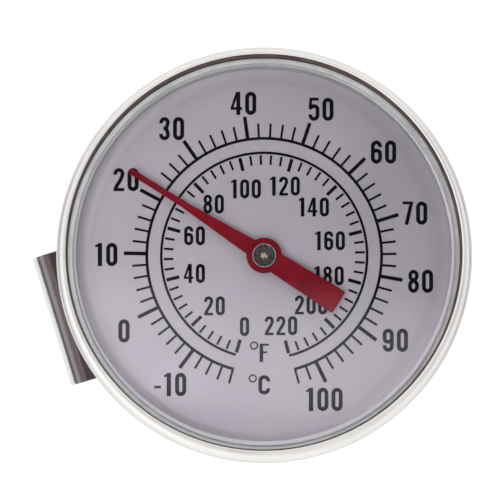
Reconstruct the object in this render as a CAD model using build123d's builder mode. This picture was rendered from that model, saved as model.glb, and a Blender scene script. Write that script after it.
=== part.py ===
"""Two-inch bimetal dial thermometer with a long stem and a pan clip, as an assembly of separate pieces.

Frame: millimetres, origin on the stem's axis at the underside of the hexagonal nut.
+Z runs up the stem to the dial, and +Y is the dial's twelve o'clock.
"""

from build123d import *
from math import cos, radians, sin, tan
import os

os.makedirs("parts", exist_ok=True)

# ---------------------------------------------------------------- driving dimensions
CASE_D = 52.0  # outside diameter of the rim
STEM_D = 3.9
STEM_LENGTH = 300.0  # from the nut's underside to the tip
STEM_WALL = 0.3
SPINDLE_D = 1.0
SHEET = 0.5  # sheet of the drawn case

CLIP_ANGLE = 197.0  # direction of the clip round the stem, from +X towards +Y
CLIP_WIDTH = 17.2
CLIP_REACH = 28.7  # stem axis to the clip's outermost face
CLIP_SHEET = 0.8
CLIP_GAP = 8.0  # over the two legs at the top of the clip
CLIP_BEND_R = 2.4  # outside radius of the two bends at the clip's top

POINTER_ANGLE = 147.7  # direction of the pointer's tip, from +X towards +Y
POINTER_LENGTH = 19.95  # spindle axis to the tip
POINTER_TAIL = 11.1  # spindle axis to the end of the tail

RUNNING_GAP = 0.05  # radial clearance of every turning or sliding fit
FACE_GAP = 0.03  # between flat faces that turn on each other
SEAT_GAP = 0.02  # radial clearance of a piece that is fixed in another
RIM_GAP = 0.05  # round the pieces that the rim clamps together

# heights of the head's main faces above the nut's underside
NUT_TOP_Z = 5.0
BACK_Z = 5.4  # outside of the case's back
NECK_TOP_Z = 8.4
LEDGE_Z = 9.4  # where the dial rests
POINTER_Z = 11.4  # underside of the pointer
FLANGE_Z = 12.6  # underside of the case's flange
LENS_Z = 13.4
LENS_TOP_Z = 14.9
RIM_TOP_Z = 15.2

# radii that several pieces share
CASE_R = CASE_D / 2
WALL_R = 24.6  # outside of the case's side wall
FLANGE_R = 25.35
RIM_SHEET = 0.4
LIP_R = 24.86  # inner edge of the rim over the lens
NECK_R = 3.5
STEM_R = STEM_D / 2
BORE_R = STEM_R - STEM_WALL
BUSH_R = BORE_R - SEAT_GAP
SPINDLE_R = SPINDLE_D / 2
GUIDE_R = SPINDLE_R + RUNNING_GAP
DIAL_T = 0.5
DIAL_R = 23.78
POINTER_T = 0.3


def finish_piece(piece, label):
    """Labels a finished piece and writes its STEP file."""
    piece.part.label = label
    export_step(piece.part, f"parts/{label}.step")


# ---------------------------------------------------------------- head: case and rim
# The case is drawn from sheet: a flat back, a sloping shoulder, a ledge for the dial and a flange.
LEDGE_R = 21.6
SHOULDER_RUN = 3.2  # the shoulder slopes out by this much
CASE_BENDS = [3.0, 0.8, 0.8, 0.1]
PIP_R = 0.3  # a raised pip on the ledge keeps the dial from turning
PIP_AT = (0, -DIAL_R)
PIP_BELOW = 0.1  # the pip ends this far below the dial's face
case_outline = [
    (NECK_R + RUNNING_GAP, BACK_Z),
    (LEDGE_R - SHOULDER_RUN, BACK_Z),
    (LEDGE_R, LEDGE_Z - SHEET),
    (WALL_R, LEDGE_Z - SHEET),
    (WALL_R, FLANGE_Z),
    (FLANGE_R, FLANGE_Z),
]
with BuildPart() as case:
    with BuildSketch(Plane.XZ):
        with BuildLine():
            outside = FilletPolyline(*case_outline, radius=CASE_BENDS)
            offset(outside, amount=SHEET, side=Side.LEFT, closed=True)
        make_face()
    revolve(axis=Axis.Z)
    with BuildSketch(Plane.XY.offset(LEDGE_Z - SHEET / 2)):
        with Locations(PIP_AT):
            Circle(PIP_R)
    extrude(amount=SHEET / 2 + DIAL_T - PIP_BELOW)
finish_piece(case, "case")

# The rim is a rolled C-section ring that holds the lens, the seal and the flange together.
ROLL_BEND_R = 0.98  # outside bend of the roll over the lens
ROLL_UNDER_BEND_R = 0.8
ROLL_UNDER_Z = FLANGE_Z - RIM_SHEET - RIM_GAP
ROLL_UNDER_R = WALL_R + 0.35
rim_outline = [
    (LIP_R, RIM_TOP_Z),
    (CASE_R, RIM_TOP_Z),
    (CASE_R, ROLL_UNDER_Z),
    (ROLL_UNDER_R, ROLL_UNDER_Z),
]
with BuildPart() as bezel_ring:
    with BuildSketch(Plane.XZ):
        with BuildLine():
            outside = FilletPolyline(*rim_outline, radius=[ROLL_BEND_R, ROLL_UNDER_BEND_R])
            offset(outside, amount=RIM_SHEET, side=Side.RIGHT, closed=True)
        make_face()
    revolve(axis=Axis.Z)
finish_piece(bezel_ring, "bezel_ring")

# ---------------------------------------------------------------- head: lens, seal, spacer and dial
LENS_EDGE_R = 24.9
LENS_EDGE_T = 0.8
BEVEL_OUT_R = 24.45
BEVEL_IN_R = 23.5
with BuildPart() as lens:
    with BuildSketch(Plane.XZ):
        with BuildLine():
            Polyline(
                (0, LENS_Z),
                (LENS_EDGE_R, LENS_Z),
                (LENS_EDGE_R, LENS_Z + LENS_EDGE_T),
                (BEVEL_OUT_R, LENS_Z + LENS_EDGE_T),
                (BEVEL_IN_R, LENS_TOP_Z),
                (0, LENS_TOP_Z),
                close=True,
            )
        make_face()
    revolve(axis=Axis.Z)
finish_piece(lens, "lens")

SEAL_R = CASE_R - RIM_SHEET - RIM_GAP
SEAL_LIP_R = BEVEL_OUT_R + FACE_GAP
SEAL_WALL_R = LENS_EDGE_R + RIM_GAP
SEAL_TOP_Z = RIM_TOP_Z - RIM_SHEET - RIM_GAP
SEAL_STEP_Z = LENS_Z + LENS_EDGE_T + RIM_GAP
SEAL_CORNER = 0.4  # follows the inside of the rim's roll
with BuildPart() as lens_gasket:
    with BuildSketch(Plane.XZ):
        with BuildLine():
            Polyline(
                (SEAL_LIP_R + SEAT_GAP, FLANGE_Z + SHEET),
                (SEAL_R, FLANGE_Z + SHEET),
                (SEAL_R, SEAL_TOP_Z - SEAL_CORNER),
                (SEAL_R - SEAL_CORNER, SEAL_TOP_Z),
                (SEAL_LIP_R, SEAL_TOP_Z),
                (SEAL_LIP_R, SEAL_STEP_Z),
                (SEAL_WALL_R, SEAL_STEP_Z),
                (SEAL_WALL_R, LENS_Z),
                (SEAL_LIP_R + SEAT_GAP, LENS_Z),
                close=True,
            )
        make_face()
    revolve(axis=Axis.Z)
finish_piece(lens_gasket, "lens_gasket")

# The spacer hangs from the flange by its collar and holds the dial down on the ledge.
SPACER_IN_R = 23.5
SPACER_OUT_R = WALL_R - SHEET - RIM_GAP
COLLAR_R = SEAL_LIP_R - FACE_GAP
DIAL_TOP_Z = LEDGE_Z + DIAL_T
with BuildPart() as spacer_ring:
    with BuildSketch(Plane.XZ):
        with BuildLine():
            Polyline(
                (SPACER_IN_R, DIAL_TOP_Z),
                (SPACER_OUT_R, DIAL_TOP_Z),
                (SPACER_OUT_R, FLANGE_Z + SHEET),
                (COLLAR_R, FLANGE_Z + SHEET),
                (COLLAR_R, LENS_Z),
                (SPACER_IN_R, LENS_Z),
                close=True,
            )
        make_face()
    revolve(axis=Axis.Z)
finish_piece(spacer_ring, "spacer_ring")

DIAL_HOLE_R = 1.7
with BuildPart() as dial_plate:
    with BuildSketch(Plane.XY.offset(LEDGE_Z)):
        Circle(DIAL_R)
        Circle(DIAL_HOLE_R, mode=Mode.SUBTRACT)
        with Locations(PIP_AT):
            Circle(PIP_R + RIM_GAP, mode=Mode.SUBTRACT)
    extrude(amount=DIAL_T)
finish_piece(dial_plate, "dial_plate")

# ---------------------------------------------------------------- stem: calibration nut and its fixings
NUT_FLATS = 10.0
NUT_CORNER_R = 5.8
NUT_FACE_R = 4.9  # the flat ring left by the corner chamfers
NUT_CHAMFER = 0.5
NUT_BORE_R = STEM_R + SEAT_GAP
NUT_MOUTH = 0.35  # chamfer at the mouth of the bore
GROOVE_R = 3.1
GROOVE_CUT_R = 4.5
RING_Z = 7.35
RING_T = 0.45
with BuildPart() as hex_nut:
    with BuildSketch():
        RegularPolygon(radius=NUT_FLATS / 2, side_count=6, major_radius=False)
    extrude(amount=NUT_TOP_Z)
    with BuildSketch(Plane.XZ):
        with BuildLine():
            Polyline(
                (0, 0),
                (NUT_FACE_R, 0),
                (NUT_CORNER_R, NUT_CHAMFER),
                (NUT_CORNER_R, NUT_TOP_Z - NUT_CHAMFER),
                (NUT_FACE_R, NUT_TOP_Z),
                (0, NUT_TOP_Z),
                close=True,
            )
        make_face()
    revolve(axis=Axis.Z, mode=Mode.INTERSECT)
    with BuildSketch(Plane.XY.offset(NUT_TOP_Z)):
        Circle(NECK_R)
    extrude(amount=NECK_TOP_Z - NUT_TOP_Z)
    with BuildSketch(Plane.XY.offset(RING_Z - FACE_GAP)):
        Circle(GROOVE_CUT_R)
        Circle(GROOVE_R, mode=Mode.SUBTRACT)
    extrude(amount=RING_T + 2 * FACE_GAP, mode=Mode.SUBTRACT)
    with BuildSketch():
        Circle(NUT_BORE_R)
    extrude(amount=NECK_TOP_Z, mode=Mode.SUBTRACT)
    bore_mouth = edges().filter_by(GeomType.CIRCLE).group_by(Axis.Z)[0].sort_by(SortBy.RADIUS)[0]
    chamfer(bore_mouth, NUT_MOUTH)
finish_piece(hex_nut, "hex_nut")

INSIDE_Z = BACK_Z + SHEET  # floor of the case
THRUST_T = 0.45
THRUST_Z = RING_Z - FACE_GAP - THRUST_T
SEAL_WASHER_R = 4.8
SEAL_WASHER_T = BACK_Z - NUT_TOP_Z - FACE_GAP
THRUST_WASHER_R = 5.2


def make_washer(inner_r, outer_r, bottom_z, thickness):
    """A flat round washer on the stem's axis."""
    with BuildPart() as washer:
        with BuildSketch(Plane.XY.offset(bottom_z)):
            Circle(outer_r)
            Circle(inner_r, mode=Mode.SUBTRACT)
        extrude(amount=thickness)
    return washer


seal_washer = make_washer(NECK_R + SEAT_GAP, SEAL_WASHER_R, NUT_TOP_Z, SEAL_WASHER_T)
finish_piece(seal_washer, "seal_washer")
thrust_washer = make_washer(NECK_R + RUNNING_GAP, THRUST_WASHER_R, THRUST_Z, THRUST_T)
finish_piece(thrust_washer, "thrust_washer")

# A coned disc spring presses the case down on the seal washer, which gives the calibration its friction.
DISC_IN_R = 3.65
DISC_OUT_R = 6.2
DISC_T = 0.3
with BuildPart() as spring_washer:
    with BuildSketch(Plane.XZ):
        with BuildLine():
            Polyline(
                (DISC_OUT_R, INSIDE_Z + FACE_GAP),
                (DISC_OUT_R, INSIDE_Z + FACE_GAP + DISC_T),
                (DISC_IN_R, THRUST_Z - FACE_GAP),
                (DISC_IN_R, THRUST_Z - FACE_GAP - DISC_T),
                close=True,
            )
        make_face()
    revolve(axis=Axis.Z)
finish_piece(spring_washer, "spring_washer")

RING_R = 4.4
RING_GAP_ANGLE = 50.0
RING_CUT_X = 6.0  # the gap's wedge runs out to here
ring_cut_y = RING_CUT_X * tan(radians(RING_GAP_ANGLE / 2))
with BuildPart() as retaining_ring:
    with BuildSketch(Plane.XY.offset(RING_Z)):
        Circle(RING_R)
        Circle(GROOVE_R + SEAT_GAP, mode=Mode.SUBTRACT)
        with BuildLine():
            Polyline(
                (0, 0),
                (RING_CUT_X, ring_cut_y),
                (RING_CUT_X, -ring_cut_y),
                close=True,
            )
        make_face(mode=Mode.SUBTRACT)
    extrude(amount=RING_T)
finish_piece(retaining_ring, "retaining_ring")

# ---------------------------------------------------------------- stem: tube, plug and bushes
TUBE_END_Z = STEM_R - STEM_LENGTH  # the domed plug starts here
ROLL_Z = -243.0  # rolled groove above the sensing end
ROLL_R = 0.7
ROLL_DEPTH = 0.2
ROLL_CENTRE_R = STEM_R + ROLL_R - ROLL_DEPTH
ROLL_REACH = 2.0  # the bead inside the tube ends well within this
with BuildPart() as stem_tube:
    with BuildSketch(Plane.XZ):
        with Locations((ROLL_CENTRE_R, ROLL_Z)):
            Circle(ROLL_R + STEM_WALL)
    revolve(axis=Axis.Z)
    with BuildSketch(Plane.XY.offset(ROLL_Z - ROLL_REACH)):
        Circle(STEM_R)
    extrude(amount=2 * ROLL_REACH, mode=Mode.INTERSECT)
    with BuildSketch(Plane.XY.offset(TUBE_END_Z)):
        Circle(STEM_R)
        Circle(BORE_R, mode=Mode.SUBTRACT)
    extrude(amount=NECK_TOP_Z - TUBE_END_Z)
    with BuildSketch(Plane.XZ):
        with Locations((ROLL_CENTRE_R, ROLL_Z)):
            Circle(ROLL_R)
    revolve(axis=Axis.Z, mode=Mode.SUBTRACT)
finish_piece(stem_tube, "stem_tube")

SPIGOT_LENGTH = 2.5
SPIGOT_Z = TUBE_END_Z + SPIGOT_LENGTH
with BuildPart() as stem_plug:
    with BuildSketch(Plane.XZ):
        with BuildLine():
            Line((0, -STEM_LENGTH), (0, SPIGOT_Z))
            Line((0, SPIGOT_Z), (BUSH_R, SPIGOT_Z))
            Line((BUSH_R, SPIGOT_Z), (BUSH_R, TUBE_END_Z))
            Line((BUSH_R, TUBE_END_Z), (STEM_R, TUBE_END_Z))
            CenterArc((0, TUBE_END_Z), STEM_R, 0, -90)
        make_face()
    revolve(axis=Axis.Z)
finish_piece(stem_plug, "stem_plug")

BUSH_LENGTH = 3.0
BUSH_HEIGHTS = [-60.0, -140.0, -220.0]
for number, bush_z in enumerate(BUSH_HEIGHTS, start=1):
    guide_bush = make_washer(GUIDE_R, BUSH_R, bush_z, BUSH_LENGTH)
    finish_piece(guide_bush, f"guide_bush_{number}")

BEARING_FLANGE_R = 2.5
BEARING_FLANGE_T = 0.4
BEARING_LENGTH = 4.0
with BuildPart() as upper_bearing:
    with BuildSketch(Plane.XY.offset(NECK_TOP_Z - BEARING_LENGTH)):
        Circle(BUSH_R)
    extrude(amount=BEARING_LENGTH)
    with BuildSketch(Plane.XY.offset(NECK_TOP_Z)):
        Circle(BEARING_FLANGE_R)
    extrude(amount=BEARING_FLANGE_T)
    with BuildSketch(Plane.XY.offset(NECK_TOP_Z - BEARING_LENGTH)):
        Circle(GUIDE_R)
    extrude(amount=BEARING_LENGTH + BEARING_FLANGE_T, mode=Mode.SUBTRACT)
finish_piece(upper_bearing, "upper_bearing")

# ---------------------------------------------------------------- stem: bimetal coil and its anchor
ANCHOR_TOP_Z = -291.0
ANCHOR_LENGTH = 3.0
coil_anchor = make_washer(GUIDE_R, BUSH_R, ANCHOR_TOP_Z - ANCHOR_LENGTH, ANCHOR_LENGTH)
finish_piece(coil_anchor, "coil_anchor")

COIL_R = 1.15  # to the middle of the strip
COIL_PITCH = 2.4
COIL_TURNS = 16
STRIP_W = 1.5
STRIP_T = 0.25
coil_start_z = ANCHOR_TOP_Z + STRIP_W / 2
coil_height = COIL_PITCH * COIL_TURNS
with BuildPart() as bimetal_coil:
    with BuildLine(Plane.XY.offset(coil_start_z)):
        strip_line = Helix(pitch=COIL_PITCH, height=coil_height, radius=COIL_R)
    with BuildSketch(Plane(origin=strip_line @ 0, x_dir=(1, 0, 0), z_dir=(0, 1, 0))):
        Rectangle(STRIP_T, STRIP_W)
    sweep(path=strip_line, is_frenet=True)
finish_piece(bimetal_coil, "bimetal_coil")

# ---------------------------------------------------------------- needle: spindle, collet and arbor
SPINDLE_TOP_Z = POINTER_Z + POINTER_T
SPINDLE_BOTTOM_Z = ANCHOR_TOP_Z - 2.5
SPINDLE_CHAMFER = 0.15
with BuildPart() as spindle:
    with BuildSketch(Plane.XY.offset(SPINDLE_BOTTOM_Z)):
        Circle(SPINDLE_R)
    extrude(amount=SPINDLE_TOP_Z - SPINDLE_BOTTOM_Z)
    chamfer(faces().sort_by(Axis.Z)[0].edges(), SPINDLE_CHAMFER)
finish_piece(spindle, "spindle")

COLLET_GAP = 0.1  # above the coil's last turn
COLLET_R = 1.3
COLLET_LENGTH = 2.0
collet_z = coil_start_z + coil_height + STRIP_W / 2 + COLLET_GAP
coil_collet = make_washer(SPINDLE_R, COLLET_R, collet_z, COLLET_LENGTH)
finish_piece(coil_collet, "coil_collet")

# The brass arbor carries the pointer: a barrel on the spindle, a seat and a small end that shows.
ARBOR_R = 0.8
ARBOR_BOTTOM_Z = NECK_TOP_Z + BEARING_FLANGE_T + 0.1
SEAT_R = 1.4
SEAT_Z = POINTER_Z - 0.8
SEAT_T = 0.5
SEAT_TOP_Z = SEAT_Z + SEAT_T
CAP_T = 0.4
CAP_TOP_Z = POINTER_Z + POINTER_T + CAP_T
TIP_R = 0.45
TIP_SHOULDER_Z = CAP_TOP_Z - 0.2  # the cap's hole is small above here
TIP_STANDS = 0.05  # the tip stands this much proud of the cap
with BuildPart() as pointer_arbor:
    with BuildSketch(Plane.XZ):
        with BuildLine():
            Polyline(
                (SPINDLE_R, ARBOR_BOTTOM_Z),
                (ARBOR_R, ARBOR_BOTTOM_Z),
                (ARBOR_R, SEAT_Z),
                (SEAT_R, SEAT_Z),
                (SEAT_R, SEAT_TOP_Z),
                (ARBOR_R, SEAT_TOP_Z),
                (ARBOR_R, TIP_SHOULDER_Z),
                (TIP_R, TIP_SHOULDER_Z),
                (TIP_R, CAP_TOP_Z + TIP_STANDS),
                (0, CAP_TOP_Z + TIP_STANDS),
                (0, SPINDLE_TOP_Z),
                (SPINDLE_R, SPINDLE_TOP_Z),
                close=True,
            )
        make_face()
    revolve(axis=Axis.Z)
finish_piece(pointer_arbor, "pointer_arbor")

# ---------------------------------------------------------------- needle: pointer and its cap
HUB_R = 2.25
BLADE_ROOT = 2.3  # width of the blade at the hub
BLADE_TIP = 0.8
BLADE_TAPER_END = 12.2  # the blade is parallel from here to the tip
TAIL_ROOT = 2.6
TAIL_END = 3.2
TAIL_CORNER_R = 0.3
SHANK_R = 1.0  # the cap's shank in the pointer's hole
with BuildPart() as pointer:
    with BuildSketch(Plane.XY.offset(POINTER_Z).rotated((0, 0, POINTER_ANGLE))):
        with BuildLine():
            Polyline(
                (0, -BLADE_ROOT / 2),
                (BLADE_TAPER_END, -BLADE_TIP / 2),
                (POINTER_LENGTH, -BLADE_TIP / 2),
                (POINTER_LENGTH, BLADE_TIP / 2),
                (BLADE_TAPER_END, BLADE_TIP / 2),
                (0, BLADE_ROOT / 2),
                close=True,
            )
        make_face()
        with BuildLine():
            Polyline(
                (0, -TAIL_ROOT / 2),
                (0, TAIL_ROOT / 2),
                (-POINTER_TAIL, TAIL_END / 2),
                (-POINTER_TAIL, -TAIL_END / 2),
                close=True,
            )
        make_face()
        Circle(HUB_R)
        Circle(SHANK_R + SEAT_GAP, mode=Mode.SUBTRACT)
    extrude(amount=POINTER_T)
    tail_axis = Axis((0, 0, 0), (-cos(radians(POINTER_ANGLE)), -sin(radians(POINTER_ANGLE)), 0))
    fillet(edges().filter_by(Axis.Z).group_by(tail_axis)[-1], TAIL_CORNER_R)
finish_piece(pointer, "pointer")

CAP_R = 1.5
RIM_W = 0.18
RIM_H = 0.12
with BuildPart() as pointer_cap:
    with BuildSketch(Plane.XZ):
        with BuildLine():
            Polyline(
                (ARBOR_R + SEAT_GAP, SEAT_TOP_Z + SEAT_GAP),
                (SHANK_R, SEAT_TOP_Z + SEAT_GAP),
                (SHANK_R, POINTER_Z + POINTER_T),
                (CAP_R, POINTER_Z + POINTER_T),
                (CAP_R, CAP_TOP_Z + RIM_H),
                (CAP_R - RIM_W, CAP_TOP_Z + RIM_H),
                (CAP_R - RIM_W, CAP_TOP_Z),
                (TIP_R + SEAT_GAP, CAP_TOP_Z),
                (TIP_R + SEAT_GAP, TIP_SHOULDER_Z + SEAT_GAP),
                (ARBOR_R + SEAT_GAP, TIP_SHOULDER_Z + SEAT_GAP),
                close=True,
            )
        make_face()
    revolve(axis=Axis.Z)
finish_piece(pointer_cap, "pointer_cap")

# ---------------------------------------------------------------- pan clip
# Clip coordinates: u runs out from the stem along CLIP_ANGLE, v across the strip, and Z is up.
u_dir = Vector(cos(radians(CLIP_ANGLE)), sin(radians(CLIP_ANGLE)), 0)
v_dir = Vector(-sin(radians(CLIP_ANGLE)), cos(radians(CLIP_ANGLE)), 0)
side_plane = Plane(origin=(0, 0, 0), x_dir=u_dir, z_dir=-v_dir)  # u across, Z up
front_plane = Plane(origin=(0, 0, 0), x_dir=v_dir, z_dir=u_dir)  # v across, Z up

EYE_R = STEM_R + RUNNING_GAP + SEAT_GAP
ARM_END_R = 5.2
UPPER_ARM_Z = -2.6  # top face of the upper eye plate
LOWER_ARM_Z = -23.6  # top face of the strip's lower arm
CLIP_TOP_Z = 0.0
LEG_U = CLIP_REACH - CLIP_GAP  # stem side of the inner leg
TAPER_END_U = LEG_U - 8.0
ARM_BEND_R = 1.0
SLOPE_Z = -12.0
NIP_U = 24.9
NIP_Z = -21.5
LIP_U = 28.2
LIP_Z = -31.0
LIP_CORNER_R = 3.0
THROUGH = 1.0  # cutting shapes run past the metal by this much


def make_arm_plan(width, far_u, bottom_z):
    """An arm's plan: full width far from the stem, tapering to a round eye on it."""
    with BuildSketch(Plane(origin=(0, 0, bottom_z), x_dir=u_dir, z_dir=(0, 0, 1))) as plan:
        Circle(ARM_END_R)
        with Locations(((far_u + TAPER_END_U) / 2, 0)):
            Rectangle(far_u - TAPER_END_U, width)
        make_hull()
        Circle(EYE_R, mode=Mode.SUBTRACT)
    return plan.sketch


band_outline = [
    (-ARM_END_R, LOWER_ARM_Z),
    (LEG_U, LOWER_ARM_Z),
    (LEG_U, CLIP_TOP_Z),
    (CLIP_REACH, CLIP_TOP_Z),
    (CLIP_REACH, SLOPE_Z),
    (NIP_U, NIP_Z),
    (LIP_U, LIP_Z),
]
RIVET_V = 4.4
RIVET_Z = -8.6
RIVET_R = 1.0
RIVET_SINK_R = 1.6
RIVET_SINK_ANGLE = 100
HOLE_DEPTH = CLIP_SHEET * 1.5
band_bends = [ARM_BEND_R, CLIP_BEND_R, CLIP_BEND_R, 6.0, 3.0]
with BuildPart() as clip_band:
    with BuildSketch(side_plane):
        with BuildLine():
            outside = FilletPolyline(*band_outline, radius=band_bends)
            offset(outside, amount=CLIP_SHEET, side=Side.RIGHT, closed=True)
        make_face()
    extrude(amount=CLIP_WIDTH / 2, both=True)
    band_plan = make_arm_plan(CLIP_WIDTH, CLIP_REACH + THROUGH, LIP_Z - THROUGH)
    extrude(band_plan, amount=CLIP_TOP_Z - LIP_Z + 2 * THROUGH, mode=Mode.INTERSECT)
    sheet_edges = edges().filter_by(lambda e: abs(e.length - CLIP_SHEET) < FACE_GAP)
    fillet(sheet_edges.filter_by(lambda e: e.center().Z < LIP_Z + THROUGH), LIP_CORNER_R)
    with Locations(front_plane.offset(LEG_U + CLIP_SHEET)):
        with Locations((-RIVET_V, RIVET_Z), (RIVET_V, RIVET_Z)):
            CounterSinkHole(RIVET_R, RIVET_SINK_R, depth=HOLE_DEPTH, counter_sink_angle=RIVET_SINK_ANGLE)
finish_piece(clip_band, "clip_band")

TAB_BOTTOM_Z = -12.2
BRACKET_WIDTH = 13.6
BRACKET_BEND_R = 1.8
bracket_outline = [(-ARM_END_R, UPPER_ARM_Z), (LEG_U, UPPER_ARM_Z), (LEG_U, TAB_BOTTOM_Z)]
with BuildPart() as clip_bracket:
    with BuildSketch(side_plane):
        with BuildLine():
            outside = FilletPolyline(*bracket_outline, radius=[BRACKET_BEND_R])
            offset(outside, amount=CLIP_SHEET, side=Side.RIGHT, closed=True)
        make_face()
    extrude(amount=BRACKET_WIDTH / 2, both=True)
    bracket_plan = make_arm_plan(BRACKET_WIDTH, LEG_U + THROUGH, TAB_BOTTOM_Z - THROUGH)
    extrude(bracket_plan, amount=UPPER_ARM_Z - TAB_BOTTOM_Z + 2 * THROUGH, mode=Mode.INTERSECT)
    with Locations(front_plane.offset(LEG_U)):
        with Locations((-RIVET_V, RIVET_Z), (RIVET_V, RIVET_Z)):
            Hole(RIVET_R, depth=HOLE_DEPTH)
finish_piece(clip_bracket, "clip_bracket")

RIVET_HEAD_R = 1.9
RIVET_HEAD_T = 0.7
RIVET_HEAD_BEND = 0.5
with BuildPart() as clip_rivets:
    with BuildSketch(front_plane.offset(LEG_U - CLIP_SHEET)):
        with Locations((-RIVET_V, RIVET_Z), (RIVET_V, RIVET_Z)):
            Circle(RIVET_R - SEAT_GAP)
    extrude(amount=2 * CLIP_SHEET)
    with BuildSketch(front_plane.offset(LEG_U - CLIP_SHEET)):
        with Locations((-RIVET_V, RIVET_Z), (RIVET_V, RIVET_Z)):
            Circle(RIVET_HEAD_R)
    heads = extrude(amount=-RIVET_HEAD_T)
    head_plane = front_plane.offset(LEG_U - CLIP_SHEET - RIVET_HEAD_T)
    circles = heads.edges().filter_by(GeomType.CIRCLE)
    rims = circles.filter_by(lambda e: abs(head_plane.to_local_coords(e.center()).Z) < FACE_GAP)
    fillet(rims, RIVET_HEAD_BEND)
finish_piece(clip_rivets, "clip_rivets")

# A split spring sleeve grips the stem between the two eyes and carries the clip with it.
SLEEVE_IN_R = STEM_R + RUNNING_GAP
SLEEVE_OUT_R = 2.75
SLEEVE_BEAD_R = 3.2
SLEEVE_BEAD = 1.2
SLEEVE_CONE = 0.4  # from a bead down to the sleeve's plain part
SLEEVE_SLOT = 1.0
SLEEVE_END_GAP = 0.3
sleeve_top_z = UPPER_ARM_Z - CLIP_SHEET - SLEEVE_END_GAP
sleeve_bottom_z = LOWER_ARM_Z + SLEEVE_END_GAP
with BuildPart() as grip_sleeve:
    with BuildSketch(Plane.XZ):
        with BuildLine():
            Polyline(
                (SLEEVE_IN_R, sleeve_bottom_z),
                (SLEEVE_BEAD_R, sleeve_bottom_z),
                (SLEEVE_BEAD_R, sleeve_bottom_z + SLEEVE_BEAD),
                (SLEEVE_OUT_R, sleeve_bottom_z + SLEEVE_BEAD + SLEEVE_CONE),
                (SLEEVE_OUT_R, sleeve_top_z - SLEEVE_BEAD - SLEEVE_CONE),
                (SLEEVE_BEAD_R, sleeve_top_z - SLEEVE_BEAD),
                (SLEEVE_BEAD_R, sleeve_top_z),
                (SLEEVE_IN_R, sleeve_top_z),
                close=True,
            )
        make_face()
    revolve(axis=Axis.Z)
    with BuildSketch(Plane(origin=(0, 0, sleeve_bottom_z), x_dir=u_dir, z_dir=(0, 0, 1))):
        with Locations(((SLEEVE_BEAD_R + THROUGH) / 2, 0)):
            Rectangle(SLEEVE_BEAD_R + THROUGH, SLEEVE_SLOT)
    extrude(amount=sleeve_top_z - sleeve_bottom_z, mode=Mode.SUBTRACT)
finish_piece(grip_sleeve, "grip_sleeve")
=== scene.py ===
from math import acos, asin, atan2, ceil, cos, hypot, pi, radians, sin, sqrt, tan

import bmesh
import bpy
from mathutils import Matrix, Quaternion, Vector
from mathutils.geometry import delaunay_2d_cdt


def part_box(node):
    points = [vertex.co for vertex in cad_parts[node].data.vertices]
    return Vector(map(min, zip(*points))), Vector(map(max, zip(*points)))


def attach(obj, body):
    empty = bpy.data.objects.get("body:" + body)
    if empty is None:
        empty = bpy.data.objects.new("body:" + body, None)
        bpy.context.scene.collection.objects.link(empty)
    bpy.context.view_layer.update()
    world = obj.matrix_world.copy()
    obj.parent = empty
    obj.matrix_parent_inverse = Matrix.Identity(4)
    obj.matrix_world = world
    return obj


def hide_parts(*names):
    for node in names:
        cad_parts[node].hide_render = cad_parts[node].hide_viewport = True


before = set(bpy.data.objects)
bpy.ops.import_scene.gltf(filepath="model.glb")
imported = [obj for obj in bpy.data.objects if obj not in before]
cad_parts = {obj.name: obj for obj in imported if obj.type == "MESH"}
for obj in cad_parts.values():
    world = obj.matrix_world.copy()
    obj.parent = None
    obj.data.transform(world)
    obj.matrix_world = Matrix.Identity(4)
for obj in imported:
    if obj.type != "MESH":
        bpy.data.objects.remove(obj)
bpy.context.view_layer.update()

MM = 0.001


# ---------------------------------------------------------------- sizes, from the frame
def reach(node):
    """A round node's outer radius, underside and top."""
    low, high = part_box(node)
    return high.x / MM, low.z / MM, high.z / MM


RIM_R, RIM_LOW_Z, RIM_TOP_Z = reach("bezel_ring")
FLANGE_R, BACK_Z, FLANGE_TOP_Z = reach("case")
LENS_R, LENS_Z, LENS_TOP_Z = reach("lens")
SEAL_R, SEAL_Z, SEAL_TOP_Z = reach("lens_gasket")
COLLAR_R, SPACER_Z, SPACER_TOP_Z = reach("spacer_ring")
DIAL_R, DIAL_Z, DIAL_TOP_Z = reach("dial_plate")
STEM_R, TUBE_END_Z, STEM_TOP_Z = reach("stem_tube")
WASHER_R, WASHER_Z, WASHER_TOP_Z = reach("seal_washer")
CAP_R, CAP_LOW_Z, CAP_RIM_Z = reach("pointer_cap")
SEAT_R, ARBOR_Z, ARBOR_TOP_Z = reach("pointer_arbor")
SLEEVE_R, SLEEVE_Z, SLEEVE_TOP_Z = reach("grip_sleeve")
STEM_END_Z = reach("stem_plug")[1]
POINTER_Z, POINTER_TOP_Z = reach("pointer")[1:]
BRACKET_TOP_Z = reach("clip_bracket")[2]
BAND_LOW_Z, BAND_TOP_Z = reach("clip_band")[1:]

SHEET = 0.5  # sheet of the case
WALL_R = 24.6
RIM_SHEET = 0.4
NECK_R = 3.5
TUBE_WALL = 0.3

# ---------------------------------------------------------------- outlines and surfaces
FINE_TURN = radians(9)  # most that a rounded corner turns from one point to the next


def rounded(points, radii, closed=True):
    """An outline with each corner rounded to its radius, as 2-D points."""
    out = []
    count = len(points)
    for i, (point, radius) in enumerate(zip(points, radii)):
        corner = Vector(point)
        if radius <= 0 or (not closed and i in (0, count - 1)):
            out.append(tuple(corner))
            continue
        back = (Vector(points[i - 1]) - corner).normalized()
        ahead = (Vector(points[(i + 1) % count]) - corner).normalized()
        half = acos(max(-1, min(1, back.dot(ahead)))) / 2
        middle = corner + (back + ahead).normalized() * (radius / sin(half))
        start = corner + back * (radius / tan(half)) - middle
        turn = pi - 2 * half
        sign = 1 if back.x * ahead.y - back.y * ahead.x < 0 else -1
        steps = max(2, ceil(turn / FINE_TURN))
        for k in range(steps + 1):
            a = sign * turn * k / steps
            out.append((middle.x + start.x * cos(a) - start.y * sin(a),
                        middle.y + start.x * sin(a) + start.y * cos(a)))
    return out


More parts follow.
